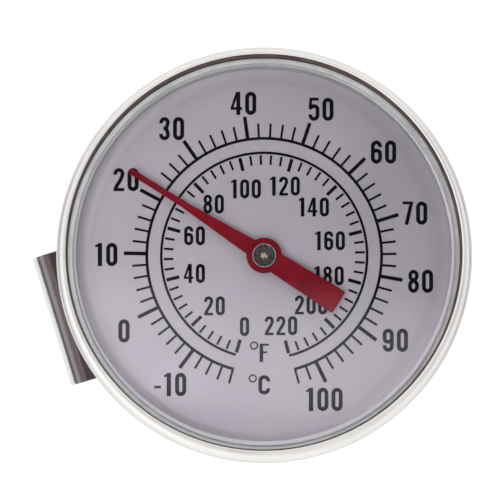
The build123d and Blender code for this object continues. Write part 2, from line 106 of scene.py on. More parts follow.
def beside(points, distance):
    """An open line's points moved to its left by a distance."""
    out = []
    for i, point in enumerate(points):
        sides = []
        for a, b in ((i - 1, i), (i, i + 1)):
            if a >= 0 and b < len(points):
                run = Vector(points[b]) - Vector(points[a])
                sides.append(Vector((-run.y, run.x)).normalized())
        mean = sides[0] + sides[-1]
        mean = mean * (2 / mean.length_squared)
        out.append((point[0] + mean.x * distance, point[1] + mean.y * distance))
    return out


def sheet_section(points, radii, sheet, edge):
    """The closed section of a bent sheet: an outer path, and the sheet's thickness to its left."""
    outer = rounded(points, [0, *radii, 0], closed=False)
    section = outer + beside(outer, sheet)[::-1]
    ends = (0, len(outer) - 1, len(outer), len(section) - 1)
    return rounded(section, [edge if i in ends else 0 for i in range(len(section))])


def skin(rings, loop=True, around=True):
    """Faces over rings of points. loop joins the last ring to the first, around closes each ring."""
    points, index = [], []
    for ring in rings:
        first = Vector(ring[0])
        single = all((Vector(p) - first).length < 1e-7 for p in ring)
        index.append([len(points) + (0 if single else i) for i in range(len(ring))])
        points += ring[:1] if single else ring
    faces = []
    for low, high in zip(index, index[1:] + (index[:1] if loop else [])):
        for i in range(len(low) if around else len(low) - 1):
            j = (i + 1) % len(low)
            face = list(dict.fromkeys([low[i], low[j], high[j], high[i]]))
            if len(face) > 2:
                faces.append(face)
    return points, faces


def full_turn(count):
    """Angles that share a full turn evenly."""
    return [2 * pi * i / count for i in range(count)]


def ring(radius, z, angles):
    """Points round Z at one height."""
    return [(radius * cos(a), radius * sin(a), z) for a in angles]


def lathe(section, segments=96):
    """A closed section of (radius, z) points turned about Z."""
    angles = full_turn(segments)
    return skin([ring(r, z, angles) for r, z in section])


def lathe_rounded(points, edge, segments=96):
    """A lathe whose section has every corner off the axis rounded by the same small radius."""
    return lathe(rounded(points, [edge if r > 0 else 0 for r, _ in points]), segments)


def ring_section(inner_r, outer_r, low_z, high_z):
    """The four corners of a plain ring's section."""
    return [(inner_r, low_z), (outer_r, low_z), (outer_r, high_z), (inner_r, high_z)]


def join(*shells):
    """Several surfaces as one."""
    points, faces = [], []
    for shell_points, shell_faces in shells:
        base = len(points)
        points += shell_points
        faces += [[i + base for i in face] for face in shell_faces]
    return points, faces


# ---------------------------------------------------------------- flat and bent plates
EDGE_STEPS = 3


def bend_stations(corners, radii):
    """Stations (length, u, z, heading) along a path of straight runs and tangent bends."""
    runs = [Vector(b) - Vector(a) for a, b in zip(corners, corners[1:])]
    headings = [atan2(run.y, run.x) for run in runs]
    stations = [(0.0, *corners[0], headings[0])]
    for corner, radius, before, after in zip(corners[1:], radii, headings, headings[1:]):
        turn = (after - before + pi) % (2 * pi) - pi
        setback = radius * tan(abs(turn) / 2)
        start = Vector(corner) - setback * Vector((cos(before), sin(before)))
        side = 1 if turn > 0 else -1
        middle = start + side * radius * Vector((-sin(before), cos(before)))
        base = stations[-1][0] + (start - Vector(stations[-1][1:3])).length
        steps = ceil(abs(turn) / radians(6))
        for k in range(steps + 1):
            heading = before + turn * k / steps
            u = middle.x + side * radius * sin(heading)
            z = middle.y - side * radius * cos(heading)
            stations.append((base + radius * abs(turn) * k / steps, u, z, heading))
    rest = (Vector(corners[-1]) - Vector(stations[-1][1:3])).length
    stations.append((stations[-1][0] + rest, *corners[-1], headings[-1]))
    return stations


def on_path(stations, length, depth):
    """The point at a length along the path and a depth to the right of it."""
    for before, after in zip(stations, stations[1:]):
        if length <= after[0] or after is stations[-1]:
            share = (length - before[0]) / (after[0] - before[0])
            u, z, heading = (a + (b - a) * share for a, b in zip(before[1:], after[1:]))
            return u + depth * sin(heading), z - depth * cos(heading)


def inset(outline, distance):
    """A closed anticlockwise outline moved inwards."""
    out = []
    for i, point in enumerate(outline):
        here = Vector(point)
        run_in = here - Vector(outline[i - 1])
        run_out = Vector(outline[(i + 1) % len(outline)]) - here
        mean = Vector((-run_in.y, run_in.x)).normalized() + Vector((-run_out.y, run_out.x)).normalized()
        out.append(tuple(here + mean * (2 * distance / mean.length_squared)))
    return out


def circle(centre, radius, count=64):
    """Points round a circle."""
    return [(centre[0] + radius * cos(a), centre[1] + radius * sin(a)) for a in full_turn(count)]


def edge_steps(thickness, edge):
    """(distance in from the outline, depth) over a plate's rounded edge, from face to face."""
    turns = [pi / 2 * k / EDGE_STEPS for k in range(EDGE_STEPS + 1)]
    upper = [(edge * (1 - sin(a)), edge * (1 - cos(a))) for a in turns]
    return upper + [(d, thickness - depth) for d, depth in reversed(upper)]


def flat_face(outline, holes, crossings):
    """Triangles inside an outline and outside round holes. Crossings are pairs of outline points
    to join."""
    loops = [outline] + [circle(centre, radius) for centre, radius in holes]
    points, edges = [], list(crossings)
    for loop in loops:
        base = len(points)
        points += loop
        edges += [(base + i, base + (i + 1) % len(loop)) for i in range(len(loop))]
    found, _, faces, *_ = delaunay_2d_cdt([Vector(p) for p in points], edges, [], 1, 1e-6)
    kept = []
    for face in faces:
        middle = sum((found[i] for i in face), Vector((0, 0))) / len(face)
        if all((middle - Vector(centre)).length > radius * 0.99 for centre, radius in holes):
            kept.append(list(face))
    return [tuple(p) for p in found], kept


def plate(outline, holes, crossings, thickness, edge, place):
    """A plate with rounded edges. Holes are (centre, rings), rings the (radius, depth) from face to face.
    place(s, v, depth) is where a point of the flat plate goes."""
    steps = edge_steps(thickness, edge)
    shells = []
    for side, (distance, depth) in ((0, steps[0]), (-1, steps[-1])):
        rounds = [(centre, rings[side][0]) for centre, rings in holes]
        points, faces = flat_face(inset(outline, distance), rounds, crossings)
        shells.append(([place(*p, depth) for p in points], faces))
    walls = [[place(*p, depth) for p in inset(outline, distance)] for distance, depth in steps]
    shells.append(skin(walls, loop=False))
    for centre, rings in holes:
        walls = [[place(*p, depth) for p in circle(centre, radius)] for radius, depth in rings]
        shells.append(skin(walls, loop=False))
    return join(*shells)


def plain_hole(centre, radius, thickness, edge):
    """A round hole with rounded mouths."""
    return centre, [(radius + distance, depth) for distance, depth in edge_steps(thickness, edge)]


# ---------------------------------------------------------------- pieces
MERGE = 2e-7  # metres
SHARP = radians(38)


def finish_mesh(name, shell):
    """A mesh with outward normals, smooth but for its sharp edges."""
    points, faces = shell
    mesh = bpy.data.meshes.new(name)
    mesh.from_pydata([Vector(p) * MM for p in points], [], faces)
    work = bmesh.new()
    work.from_mesh(mesh)
    bmesh.ops.remove_doubles(work, verts=work.verts, dist=MERGE)
    bmesh.ops.recalc_face_normals(work, faces=work.faces)
    work.to_mesh(mesh)
    work.free()
    mesh.shade_smooth()
    mesh.set_sharp_from_angle(angle=SHARP)
    return mesh


def add_pieces(materials, body, pieces):
    """Visible pieces that ride on a CAD body. Each has a name, a shell, the name of its material and the CAD
    node that it stands for, or None."""
    for name, shell, slot, node in pieces:
        piece = bpy.data.objects.new(name, finish_mesh(name, shell))
        bpy.context.scene.collection.objects.link(piece)
        piece.data.materials.append(materials[slot])
        piece.modifiers.new("weighted_normals", "WEIGHTED_NORMAL").keep_sharp = True
        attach(piece, body)
        if node:
            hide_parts(node)


def paint_node(node, material):
    """Gives a carried-over CAD node its material."""
    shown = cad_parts[node]
    shown.data.materials.clear()
    shown.data.materials.append(material)


# ---------------------------------------------------------------- material building blocks
class Nodes:
    """A node tree and the few nodes that the recipes below use."""

    def __init__(self, tree):
        self.tree = tree

    def node(self, kind, *sources, **settings):
        """A node with its first sockets linked or set."""
        made = self.tree.nodes.new(kind)
        for key, value in settings.items():
            setattr(made, key, value)
        for socket, source in zip(made.inputs, sources):
            if isinstance(source, (int, float, tuple)):
                socket.default_value = source
            else:
                self.link(source, socket)
        return made

    def link(self, source, target):
        self.tree.links.new(source, target)

    def product(self, vector, factor):
        """A vector or colour multiplied by another."""
        return self.node("ShaderNodeVectorMath", vector, factor, operation="MULTIPLY").outputs[0]

    def maths(self, operation, *values):
        return self.node("ShaderNodeMath", *values, operation=operation).outputs[0]

    def plus(self, first, second):
        return self.maths("ADD", first, second)

    def times(self, first, second):
        return self.maths("MULTIPLY", first, second)

    def split(self, vector):
        return self.node("ShaderNodeSeparateXYZ", vector).outputs

    def vector(self, *values):
        return self.node("ShaderNodeCombineXYZ", *values).outputs[0]

    def ramp(self, factor, stops):
        """A colour from a ramp of stops, each a place from 0 to 1 and a colour."""
        made = self.node("ShaderNodeValToRGB", factor)
        elements = made.color_ramp.elements
        while len(elements) < len(stops):
            elements.new(0.5)
        for element, (place, colour) in zip(elements, stops):
            element.position = place
            element.color = (*colour, 1)
        return made.outputs["Color"]

    def blend(self, factor, low, high, start=0.3, end=0.7):
        """A colour that runs from low to high as the factor runs from start to end."""
        return self.ramp(factor, [(start, low), (end, high)])

    def spread(self, factor, low, high, start=0.3, end=0.7):
        """A number that runs from low to high as the factor runs from start to end."""
        return self.node("ShaderNodeMapRange", factor, start, end, low, high).outputs[0]


class Paint(Nodes):
    """A Principled material, its textures laid out in millimetres."""

    def __init__(self, name, roughness=0.5, metallic=0.0, **sockets):
        self.material = bpy.data.materials.new(name)
        self.material.use_nodes = True
        super().__init__(self.material.node_tree)
        self.shader = self.tree.nodes["Principled BSDF"]
        for socket, value in dict(roughness=roughness, metallic=metallic, **sockets).items():
            self.shader.inputs[socket.replace("_", " ").title().replace("Ior", "IOR")].default_value = value
        self.place = self.product(self.node("ShaderNodeTexCoord").outputs["Object"], (1 / MM,) * 3)
        self.bumps = None

    def axes(self):
        return self.split(self.place)

    def radius(self):
        """Distance from Z."""
        x, y, _ = self.axes()
        return self.maths("SQRT", self.plus(self.times(x, x), self.times(y, y)))

    def toward(self, u_x, u_y):
        """Distance along a direction in the XY plane, or any such slope."""
        x, y, _ = self.axes()
        return self.plus(self.times(x, u_x), self.times(y, u_y))

    def noise(self, scale, detail=3.0, roughness=0.5, vector=None):
        made = self.node("ShaderNodeTexNoise", vector or self.place)
        for socket, value in (("Scale", scale), ("Detail", detail), ("Roughness", roughness)):
            made.inputs[socket].default_value = value
        return made.outputs["Fac"]

    def mix(self, factor, low, high):
        """Two colours mixed by a factor."""
        made = self.node("ShaderNodeMix", factor, data_type="RGBA")
        self.link(low, made.inputs[6])
        self.link(high, made.inputs[7])
        return made.outputs[2]

    def bump(self, height, depth):
        """Adds a relief of a depth in millimetres."""
        made = self.node("ShaderNodeBump", 1.0)
        made.inputs["Distance"].default_value = depth * MM
        self.link(height, made.inputs["Height"])
        if self.bumps:
            self.link(self.bumps, made.inputs["Normal"])
        self.bumps = made.outputs[0]

    def done(self, colour, roughness=None):
        for socket, source in (("Base Color", colour), ("Roughness", roughness), ("Normal", self.bumps)):
            if source:
                self.link(source, self.shader.inputs[socket])
        return self.material


def turned_lines(paint, per_mm):
    """Fine lines round Z, as a lathe, a polishing wheel or centreless grinding leaves them."""
    x, y, z = paint.axes()
    across = paint.times(paint.plus(paint.radius(), z), per_mm)
    slow = 0.12
    return paint.noise(1.0, 4.0, 0.6, paint.vector(across, paint.times(x, slow), paint.times(y, slow)))


def lay_lines(paint, direction, per_mm):
    """Fine rolling or polishing lines along a direction in the XY plane, or along Z if it is None."""
    if direction is None:
        return paint.noise(1.0, 4.0, 0.6, paint.product(paint.place, (per_mm, per_mm, per_mm * 0.02)))
    u_x, u_y = direction
    z = paint.axes()[2]
    slow = 0.03 * per_mm
    across = paint.times(paint.toward(-u_y, u_x), per_mm)
    along = paint.times(paint.toward(u_x, u_y), slow)
    return paint.noise(1.0, 4.0, 0.6, paint.vector(across, along, paint.times(z, slow)))


def metal(name, dark, light, roughness, lines, relief, smudge=0.08):
    """A metal whose colour, gloss and relief follow its working lines, with soft smudges over them.
    lines is a function that takes the paint and gives the lines' height."""
    paint = Paint(name, metallic=1.0)
    line = lines(paint)
    smudges = paint.noise(0.11, 2.0, 0.5)
    specks = paint.noise(5.0, 2.0, 0.7)
    paint.bump(line, relief)
    paint.bump(specks, relief * 0.35)
    varied = paint.plus(paint.spread(line, 0.0, 0.7), paint.spread(smudges, 0.0, 0.3))
    smudged = paint.spread(smudges, roughness - smudge / 2, roughness + smudge)
    gloss = paint.plus(smudged, paint.spread(line, -0.02, 0.03))
    return paint.done(paint.blend(varied, dark, light, 0.0, 1.0), gloss)


# ---------------------------------------------------------------- the materials
CLIP_DIRECTION = radians(197)
CLIP_U = (cos(CLIP_DIRECTION), sin(CLIP_DIRECTION))
CLIP_V = (-CLIP_U[1], CLIP_U[0])


def glass_material():
    """Clear pressed glass that lets the lamps through to the dial."""
    paint = Paint("lens_glass", roughness=0.0, ior=1.5, transmission_weight=1.0)
    waves = paint.noise(0.09, 2.0, 0.4)
    paint.bump(waves, 0.004)
    surface = paint.done(paint.blend(waves, (0.955, 0.975, 0.965), (0.985, 0.99, 0.985)))
    shadow = paint.node("ShaderNodeLightPath").outputs["Is Shadow Ray"]
    clear = paint.node("ShaderNodeBsdfTransparent").outputs[0]
    mixed = paint.node("ShaderNodeMixShader", shadow, paint.shader.outputs[0], clear).outputs[0]
    paint.link(mixed, paint.tree.nodes["Material Output"].inputs["Surface"])
    return surface


PAINTED_DIAL_LIGHT_SLANT = (-0.0090, -0.0098)  # painted light: the change of tone for each millimetre along X and Y, lighter towards -X and -Y
PAINTED_DIAL_EDGE_LIGHT = (21.9, 23.1)  # radii over which a painted pale edge sets in, painted light against the spacer ring's shade
# painted light: the pale edge's change for each millimetre along X and Y, and its strength at the middle
PAINTED_DIAL_EDGE_LIGHT_SLANT = (-0.014, -0.002)
PAINTED_DIAL_EDGE_LIGHT_LIFT = 0.54


def dial_material():
    """Satin silver lacquer, faintly violet, with a fine metallic grain. Painted light makes it lighter
    towards -X and -Y and gives it a pale edge against the spacer ring's shade.
    """
    paint = Paint("dial_face", metallic=0.92, coat_weight=0.15, coat_roughness=0.35)
    cloud = paint.noise(0.05, 2.0, 0.5)
    grain = paint.noise(14.0, 2.0, 0.75)
    flakes = paint.noise(3.2, 3.0, 0.6)
    paint.bump(grain, 0.0022)
    paint.bump(flakes, 0.003)
    # painted light: lighter towards -X and -Y, and a painted pale edge that is strongest on the -X side
    slant = paint.toward(*PAINTED_DIAL_LIGHT_SLANT)
    side = paint.plus(paint.toward(*PAINTED_DIAL_EDGE_LIGHT_SLANT), PAINTED_DIAL_EDGE_LIGHT_LIFT)
    edge = paint.times(paint.spread(paint.radius(), 0.0, 1.0, *PAINTED_DIAL_EDGE_LIGHT), side)
    grained = paint.plus(paint.spread(cloud, 0.05, 0.25), paint.spread(grain, -0.09, 0.09))
    tone = paint.plus(paint.plus(slant, edge), paint.plus(grained, 0.35))
    colour = paint.blend(tone, (0.333, 0.298, 0.340), (0.612, 0.558, 0.640), 0.0, 1.0)
    return paint.done(colour, paint.spread(flakes, 0.40, 0.5))


def print_material():
    """Black screen ink with a slight mottle."""
    paint = Paint("dial_print", specular_ior_level=0.06)
    mottle = paint.noise(4.0, 3.0, 0.6)
    paint.bump(mottle, 0.003)
    colour = paint.blend(mottle, (0.0012, 0.0008, 0.0018), (0.0035, 0.0025, 0.0045))
    return paint.done(colour, paint.spread(mottle, 0.4, 0.55))


def pointer_material():
    """Satin crimson paint with a faint orange peel."""
    paint = Paint("pointer_red", specular_ior_level=0.06, coat_weight=0.08, coat_roughness=0.16)
    peel = paint.noise(2.6, 2.0, 0.5)
    grain = paint.noise(18.0, 2.0, 0.6)
    cloud = paint.noise(0.25, 2.0, 0.5)
    paint.bump(peel, 0.006)
    paint.bump(grain, 0.0012)
    tone = paint.plus(paint.spread(cloud, 0.1, 0.9), paint.spread(grain, -0.15, 0.15))
    colour = paint.blend(tone, (0.15, 0.002, 0.009), (0.28, 0.0045, 0.017), 0.0, 1.0)
    return paint.done(colour, paint.spread(peel, 0.34, 0.46))


def hub_material():
    """Dark passivated steel with turned lines, and a painted highlight on its rim, where it is also
    glossier.
    """
    paint = Paint("hub_steel", metallic=1.0)
    line = turned_lines(paint, 14.0)
    grain = paint.noise(3.6, 4.0, 0.75)
    # painted highlight: a ragged ring round the rim where the colour is painted bright
    ragged = paint.plus(paint.radius(), paint.spread(grain, -0.06, 0.06))
    painted_light = paint.spread(ragged, 0.0, 1.0, CAP_R - 0.13, CAP_R - 0.05)
    paint.bump(line, 0.003)
    paint.bump(grain, 0.014)
    plain = paint.blend(grain, (0.016, 0.013, 0.016), (0.125, 0.105, 0.11), 0.34, 0.7)
    # the painted highlight's colour
    bright = paint.blend(grain, (0.30, 0.26, 0.25), (0.66, 0.60, 0.57), 0.35, 0.65)
    return paint.done(paint.mix(painted_light, plain, bright), paint.spread(painted_light, 0.42, 0.24, 0.0, 1.0))


def brass_material():
    """Turned brass with brown stains and bright knocks."""
    paint = Paint("brass", metallic=1.0)
    line = turned_lines(paint, 12.0)
    stain = paint.noise(3.0, 3.0, 0.7)
    paint.bump(line, 0.004)
    paint.bump(stain, 0.05)
    tone = paint.plus(paint.spread(stain, 0.0, 0.9, 0.42, 0.60), paint.spread(line, -0.05, 0.1))
    colour = paint.blend(tone, (0.06, 0.038, 0.03), (0.46, 0.385, 0.30), 0.0, 1.0)
    return paint.done(colour, paint.spread(stain, 0.5, 0.33))


def rubber_material():
    """Dark red-brown moulded rubber with a dull grain and a little bloom."""
    paint = Paint("gasket_rubber", specular_ior_level=0.35)
    grain = paint.noise(8.0, 4.0, 0.65)
    bloom = paint.noise(0.5, 3.0, 0.6)
    paint.bump(grain, 0.012)
    tone = paint.plus(paint.spread(bloom, 0.0, 0.8), paint.spread(grain, -0.1, 0.2))
    colour = paint.blend(tone, (0.05, 0.026, 0.026), (0.115, 0.075, 0.07), 0.0, 1.0)
    return paint.done(colour, paint.spread(grain, 0.55, 0.75))


def lacquer_material():
    """Pale grey-green lacquer on the spacer, with brush marks round it. Painted light makes it lighter
    outwards and towards -X and -Y, and a painted contact shadow darkens its inner edge.
    """
    paint = Paint("spacer_lacquer", coat_weight=0.2, coat_roughness=0.3)
    line = turned_lines(paint, 5.0)
    cloud = paint.noise(0.3, 2.0, 0.5)
    paint.bump(line, 0.006)
    x, y, _ = paint.axes()
    radius = paint.radius()
    tone = paint.plus(paint.spread(line, -0.15, 0.25), paint.spread(cloud, -0.2, 0.5))
    # painted light: lighter outwards, against the rim's shade
    outward = paint.plus(tone, paint.spread(radius, 0.0, 0.55, SPACER_IN_R + 0.2, SPACER_IN_R + 0.9))
    # painted light: lighter towards -X and -Y
    painted_light = paint.plus(outward, paint.spread(paint.plus(x, y), 0.75, 0.0, -30.0, 6.0))
    plain = paint.blend(painted_light, (0.46, 0.465, 0.475), (0.86, 0.865, 0.88), 0.0, 1.0)
    # painted shadow: the contact shadow where the spacer meets the dial, darkest at its inner edge
    painted_contact_shadow = paint.blend(line, (0.22, 0.215, 0.22), (0.34, 0.335, 0.34))
    inner = paint.spread(radius, 1.0, 0.0, SPACER_IN_R + 0.14, SPACER_IN_R + 0.42)
    return paint.done(paint.mix(inner, plain, painted_contact_shadow), paint.spread(line, 0.35, 0.5))


def fluorocarbon_material():
    """White skived sealing sheet, with knife lines and grey handling marks."""
    paint = Paint("seal_ptfe", subsurface_weight=0.08, specular_ior_level=0.4)
    line = turned_lines(paint, 3.0)
    marks = paint.noise(0.8, 4.0, 0.65)
    paint.bump(line, 0.01)
    colour = paint.blend(marks, (0.66, 0.65, 0.62), (0.85, 0.85, 0.83))
    return paint.done(colour, paint.spread(marks, 0.42, 0.6))


def bimetal_material():
    """Rolled strip with a bright high-nickel face and a brown manganese one, in broad cloudy bands."""
    paint = Paint("bimetal_strip", metallic=1.0)
    line = lay_lines(paint, None, 4.0)
    patina = paint.noise(0.9, 3.0, 0.6)
    paint.bump(line, 0.004)
    tone = paint.plus(paint.spread(patina, 0.0, 1.0), paint.spread(line, -0.1, 0.1))
    colour = paint.blend(tone, (0.42, 0.34, 0.27), (0.66, 0.64, 0.62), 0.0, 1.0)
    return paint.done(colour, paint.spread(patina, 0.3, 0.45))


CLIP_PAINTED_REFLECTIONS = [  # distance out along the clip, and the colour painted there: reflections over the bend, shade next to the case and a highlight on the crest
    (23.0, (0.07, 0.055, 0.055)),
    (26.6, (0.085, 0.066, 0.069)),
    (27.0, (0.10, 0.078, 0.082)),
    (27.15, (0.15, 0.12, 0.125)),
    (27.3, (0.24, 0.20, 0.215)),
    (27.5, (0.30, 0.265, 0.29)),
    (27.62, (0.28, 0.255, 0.29)),
    (27.78, (0.18, 0.175, 0.21)),
    (27.88, (0.17, 0.17, 0.205)),
    (27.98, (0.30, 0.30, 0.34)),
    (28.1, (0.72, 0.71, 0.71)),
    (29.0, (0.78, 0.77, 0.76)),
]


def clip_material():
    """Polished strip, with painted reflections in brown, lavender and blue bands over its U-bend, painted
    shade next to the case and a painted highlight on its crest.
    """
    paint = Paint("clip_steel", metallic=1.0)
    line = lay_lines(paint, CLIP_U, 7.0)
    smudges = paint.noise(0.2, 3.0, 0.5)
    out = paint.toward(*CLIP_U)
    ragged = paint.plus(out, paint.spread(paint.noise(1.6, 3.0, 0.6), -0.045, 0.045))
    first, last = CLIP_PAINTED_REFLECTIONS[0][0], CLIP_PAINTED_REFLECTIONS[-1][0]
    stops = [((u - first) / (last - first), colour) for u, colour in CLIP_PAINTED_REFLECTIONS]
    # painted reflections, shade and highlight, laid by distance out along the clip
    painted_reflections = paint.ramp(paint.spread(ragged, 0.0, 1.0, first, last), stops)
    plain = paint.blend(line, (0.40, 0.397, 0.394), (0.54, 0.536, 0.532))
    upper = paint.spread(paint.axes()[2], 0.0, 1.0, -2.6, -1.6)
    beyond = paint.spread(out, 0.0, 1.0, 22.6, 23.2)
    paint.bump(line, 0.0016)
    gloss = paint.spread(smudges, 0.24, 0.34)
    return paint.done(paint.mix(paint.times(upper, beyond), plain, painted_reflections), gloss)


METALS = {  # name: dark and light colour, roughness, working lines for each millimetre, their relief
    "case_steel": ((0.36, 0.357, 0.354), (0.48, 0.476, 0.472), 0.24, 6.0, 0.006),
    "nut_steel": ((0.36, 0.357, 0.354), (0.50, 0.496, 0.492), 0.26, 9.0, 0.006),
    "washer_steel": ((0.44, 0.44, 0.445), (0.60, 0.60, 0.605), 0.36, 5.0, 0.006),
    "spring_steel": ((0.14, 0.16, 0.22), (0.32, 0.33, 0.36), 0.3, 4.0, 0.005),
    "stem_steel": ((0.34, 0.337, 0.334), (0.48, 0.476, 0.472), 0.17, 10.0, 0.0035),
    "spindle_steel": ((0.48, 0.48, 0.48), (0.64, 0.64, 0.64), 0.25, 8.0, 0.003),
    "sleeve_steel": ((0.32, 0.32, 0.33), (0.46, 0.46, 0.47), 0.3, 5.0, 0.007),
}


def turned_metal(name, dark, light, roughness, per_mm, relief, smudge=0.08):
    """A metal turned or ground about Z."""
    return metal(name, dark, light, roughness, lambda paint: turned_lines(paint, per_mm), relief, smudge)


def pressed_metal(name, dark, light, roughness, relief):
    """A metal with the uneven skin of a pressed head."""
    return metal(name, dark, light, roughness, lambda paint: paint.noise(2.5, 4.0, 0.6), relief)


def make_materials():
    """Every material, by the name that the pieces use for it."""
    rim = turned_metal("rim_steel", (0.63, 0.615, 0.602), (0.74, 0.723, 0.707), 0.36, 7.0, 0.004, 0.06)
    rivet = pressed_metal("rivet_steel", (0.40, 0.40, 0.405), (0.56, 0.56, 0.565), 0.24, 0.006)
    return {name: turned_metal(name, *values) for name, values in METALS.items()} | {
        "rim_steel": rim,
        "rivet_steel": rivet,
        "brass": brass_material(),
        "clip_steel": clip_material(),
        "lens_glass": glass_material(),
        "dial_face": dial_material(),
        "dial_print": print_material(),
        "pointer_red": pointer_material(),
        "hub_steel": hub_material(),
        "gasket_rubber": rubber_material(),
        "spacer_white": lacquer_material(),
        "seal_ptfe": fluorocarbon_material(),
        "bimetal_strip": bimetal_material(),
    }


# ---------------------------------------------------------------- head
LEDGE_R = 21.6
SHOULDER_RUN = 3.2  # of the case's sloping shoulder
LEDGE_UNDER_Z = DIAL_Z - SHEET
FLANGE_UNDER_Z = FLANGE_TOP_Z - SHEET
UNDER_ROLL_R = 24.95  # the rim's lower opening
LIP_R = 24.76  # the rim's upper opening
LIP_SLOPE_RUN = 0.24  # the rim's top falls over this width, and by this much, to its opening
LIP_DROP = 0.035
LIP_OFFSET = (-0.05, 0.36)  # the rolled lip sits a little off centre
EDGE_OFFSET = (-0.09, 0.24)  # and so do the lens and the lip of its seal
BEVEL_OUT_R = 24.51
BEVEL_IN_R = 23.5
LENS_EDGE_Z = LENS_Z + 0.8
SPACER_IN_R = 23.5
SPACER_OUT_R = 24.05
DIAL_HOLE_R = 1.7
FINE_SEGMENTS = 256


def off_centre(shell, offset, low_z, full_r, none_r):
    """A turned piece with its inner edge above low_z moved sideways: fully at full_r, and not at all
    at none_r."""
    points, faces = shell
    moved = []
    for x, y, z in points:
        r = hypot(x, y)
        share = min(1, max(0, (none_r - r) / (none_r - full_r))) if z > low_z and r > 1 else 0
        moved.append((x + offset[0] * share, y + offset[1] * share, z))
    return moved, faces


def case_shell():
    """Drawn sheet case: flat back, sloping shoulder, ledge for the dial, wall and flange."""
    outside = [
        (NECK_R + 0.05, BACK_Z),
        (LEDGE_R - SHOULDER_RUN, BACK_Z),
        (LEDGE_R, LEDGE_UNDER_Z),
        (WALL_R, LEDGE_UNDER_Z),
        (WALL_R, FLANGE_UNDER_Z),
        (FLANGE_R, FLANGE_UNDER_Z),
    ]
    return lathe(sheet_section(outside, [3.0, 0.8, 0.8, 0.1], SHEET, 0.12), FINE_SEGMENTS)


def rim_shell():
    """Rolled C-section ring over the lens and under the flange."""
    outside = [(UNDER_ROLL_R, RIM_LOW_Z), (RIM_R, RIM_LOW_Z), (RIM_R, RIM_TOP_Z),
               (LIP_R + LIP_SLOPE_RUN, RIM_TOP_Z), (LIP_R, RIM_TOP_Z - LIP_DROP)]
    shell = lathe(sheet_section(outside, [0.8, 0.85, 0.2], RIM_SHEET, 0.1), FINE_SEGMENTS)
    return off_centre(shell, LIP_OFFSET, LENS_EDGE_Z, LIP_R, RIM_R - 0.3)


def lens_shell():
    """Flat lens with a bevelled edge."""
    section = [
        (0, LENS_Z),
        (LENS_R, LENS_Z),
        (LENS_R, LENS_EDGE_Z),
        (BEVEL_OUT_R, LENS_EDGE_Z),
        (BEVEL_IN_R, LENS_TOP_Z),
        (0, LENS_TOP_Z),
    ]
    shell = lathe_rounded(section, 0.07, FINE_SEGMENTS)
    return off_centre(shell, EDGE_OFFSET, LENS_EDGE_Z - 0.1, BEVEL_OUT_R, LENS_R)


def seal_shell():
    """Rubber seal between the lens, the flange and the rim."""
    lip_r, wall_r, step_z, corner = BEVEL_OUT_R + 0.03, LENS_R + 0.05, LENS_EDGE_Z + 0.05, 0.4
    section = [
        (lip_r + 0.02, SEAL_Z),
        (SEAL_R, SEAL_Z),
        (SEAL_R, SEAL_TOP_Z - corner),
        (SEAL_R - corner, SEAL_TOP_Z),
        (LIP_R + LIP_SLOPE_RUN + 0.05, SEAL_TOP_Z),
        (lip_r, SEAL_TOP_Z - LIP_DROP - 0.03),
        (lip_r, step_z),
        (wall_r, step_z),
        (wall_r, LENS_Z),
        (lip_r + 0.02, LENS_Z),
    ]
    shell = lathe_rounded(section, 0.04, FINE_SEGMENTS)
    return off_centre(shell, EDGE_OFFSET, LENS_EDGE_Z - 0.1, lip_r, wall_r)


def spacer_shell():
    """Ring that hangs from the flange by its collar and holds the dial on its ledge."""
    section = [
        (SPACER_IN_R, SPACER_Z),
        (SPACER_OUT_R, SPACER_Z),
        (SPACER_OUT_R, FLANGE_TOP_Z),
        (COLLAR_R, FLANGE_TOP_Z),
        (COLLAR_R, SPACER_TOP_Z),
        (SPACER_IN_R, SPACER_TOP_Z),
    ]
    return lathe_rounded(section, 0.06, FINE_SEGMENTS)


def build_head(materials):
    """Case, rim, lens, seal, spacer and dial."""
    dial = lathe_rounded(ring_section(DIAL_HOLE_R, DIAL_R, DIAL_Z, DIAL_TOP_Z), 0.06, FINE_SEGMENTS)
    add_pieces(materials, "head", [
        ("drawn_case", case_shell(), "case_steel", "case"),
        ("rolled_rim", rim_shell(), "rim_steel", "bezel_ring"),
        ("glass_lens", lens_shell(), "lens_glass", "lens"),
        ("rubber_seal", seal_shell(), "gasket_rubber", "lens_gasket"),
        ("dial_spacer", spacer_shell(), "spacer_white", "spacer_ring"),
        ("dial_face", dial, "dial_face", "dial_plate"),
    ])


# ---------------------------------------------------------------- print on the dial
PRINT_T = 0.025
PRINT_SINK = 0.01  # the print starts this far inside the lacquer
CELSIUS_ZERO = 206.0  # angle of 0 degrees C, from +X towards +Y
CELSIUS_STEP = 2.7  # angle of one degree C
FAHRENHEIT_ZERO = 254.0
FAHRENHEIT_STEP = 1.5
CELSIUS_ARC = (14.80, 0.36)  # an arc's radius and width
CELSIUS_LONG_TICK = (17.70, 0.46)  # a tick's far radius and width
CELSIUS_SHORT_TICK = (16.69, 0.28)
CELSIUS_HEIGHT = 2.93
FAHRENHEIT_ARC = (12.98, 0.32)
FAHRENHEIT_TICK_R = 12.69  # its ticks stop short of its arc
FAHRENHEIT_LONG_TICK = (11.02, 0.43)
FAHRENHEIT_SHORT_TICK = (11.46, 0.28)
FAHRENHEIT_HEIGHT = 2.41
DEGREE_R = 0.435
DEGREE_WIDTH = 0.17
CELSIUS_LABELS = {  # numeral: where its middle sits on the dial
    -10: (-11.84, -16.23), 0: (-17.67, -9.48), 10: (-19.92, 0.15), 20: (-17.43, 9.60),
    30: (-11.62, 16.03), 40: (-2.62, 19.23), 50: (7.17, 18.47), 60: (15.05, 13.07),
    70: (19.01, 5.37), 80: (19.71, -3.22), 90: (16.52, -10.66), 100: (7.58, -18.11),
}
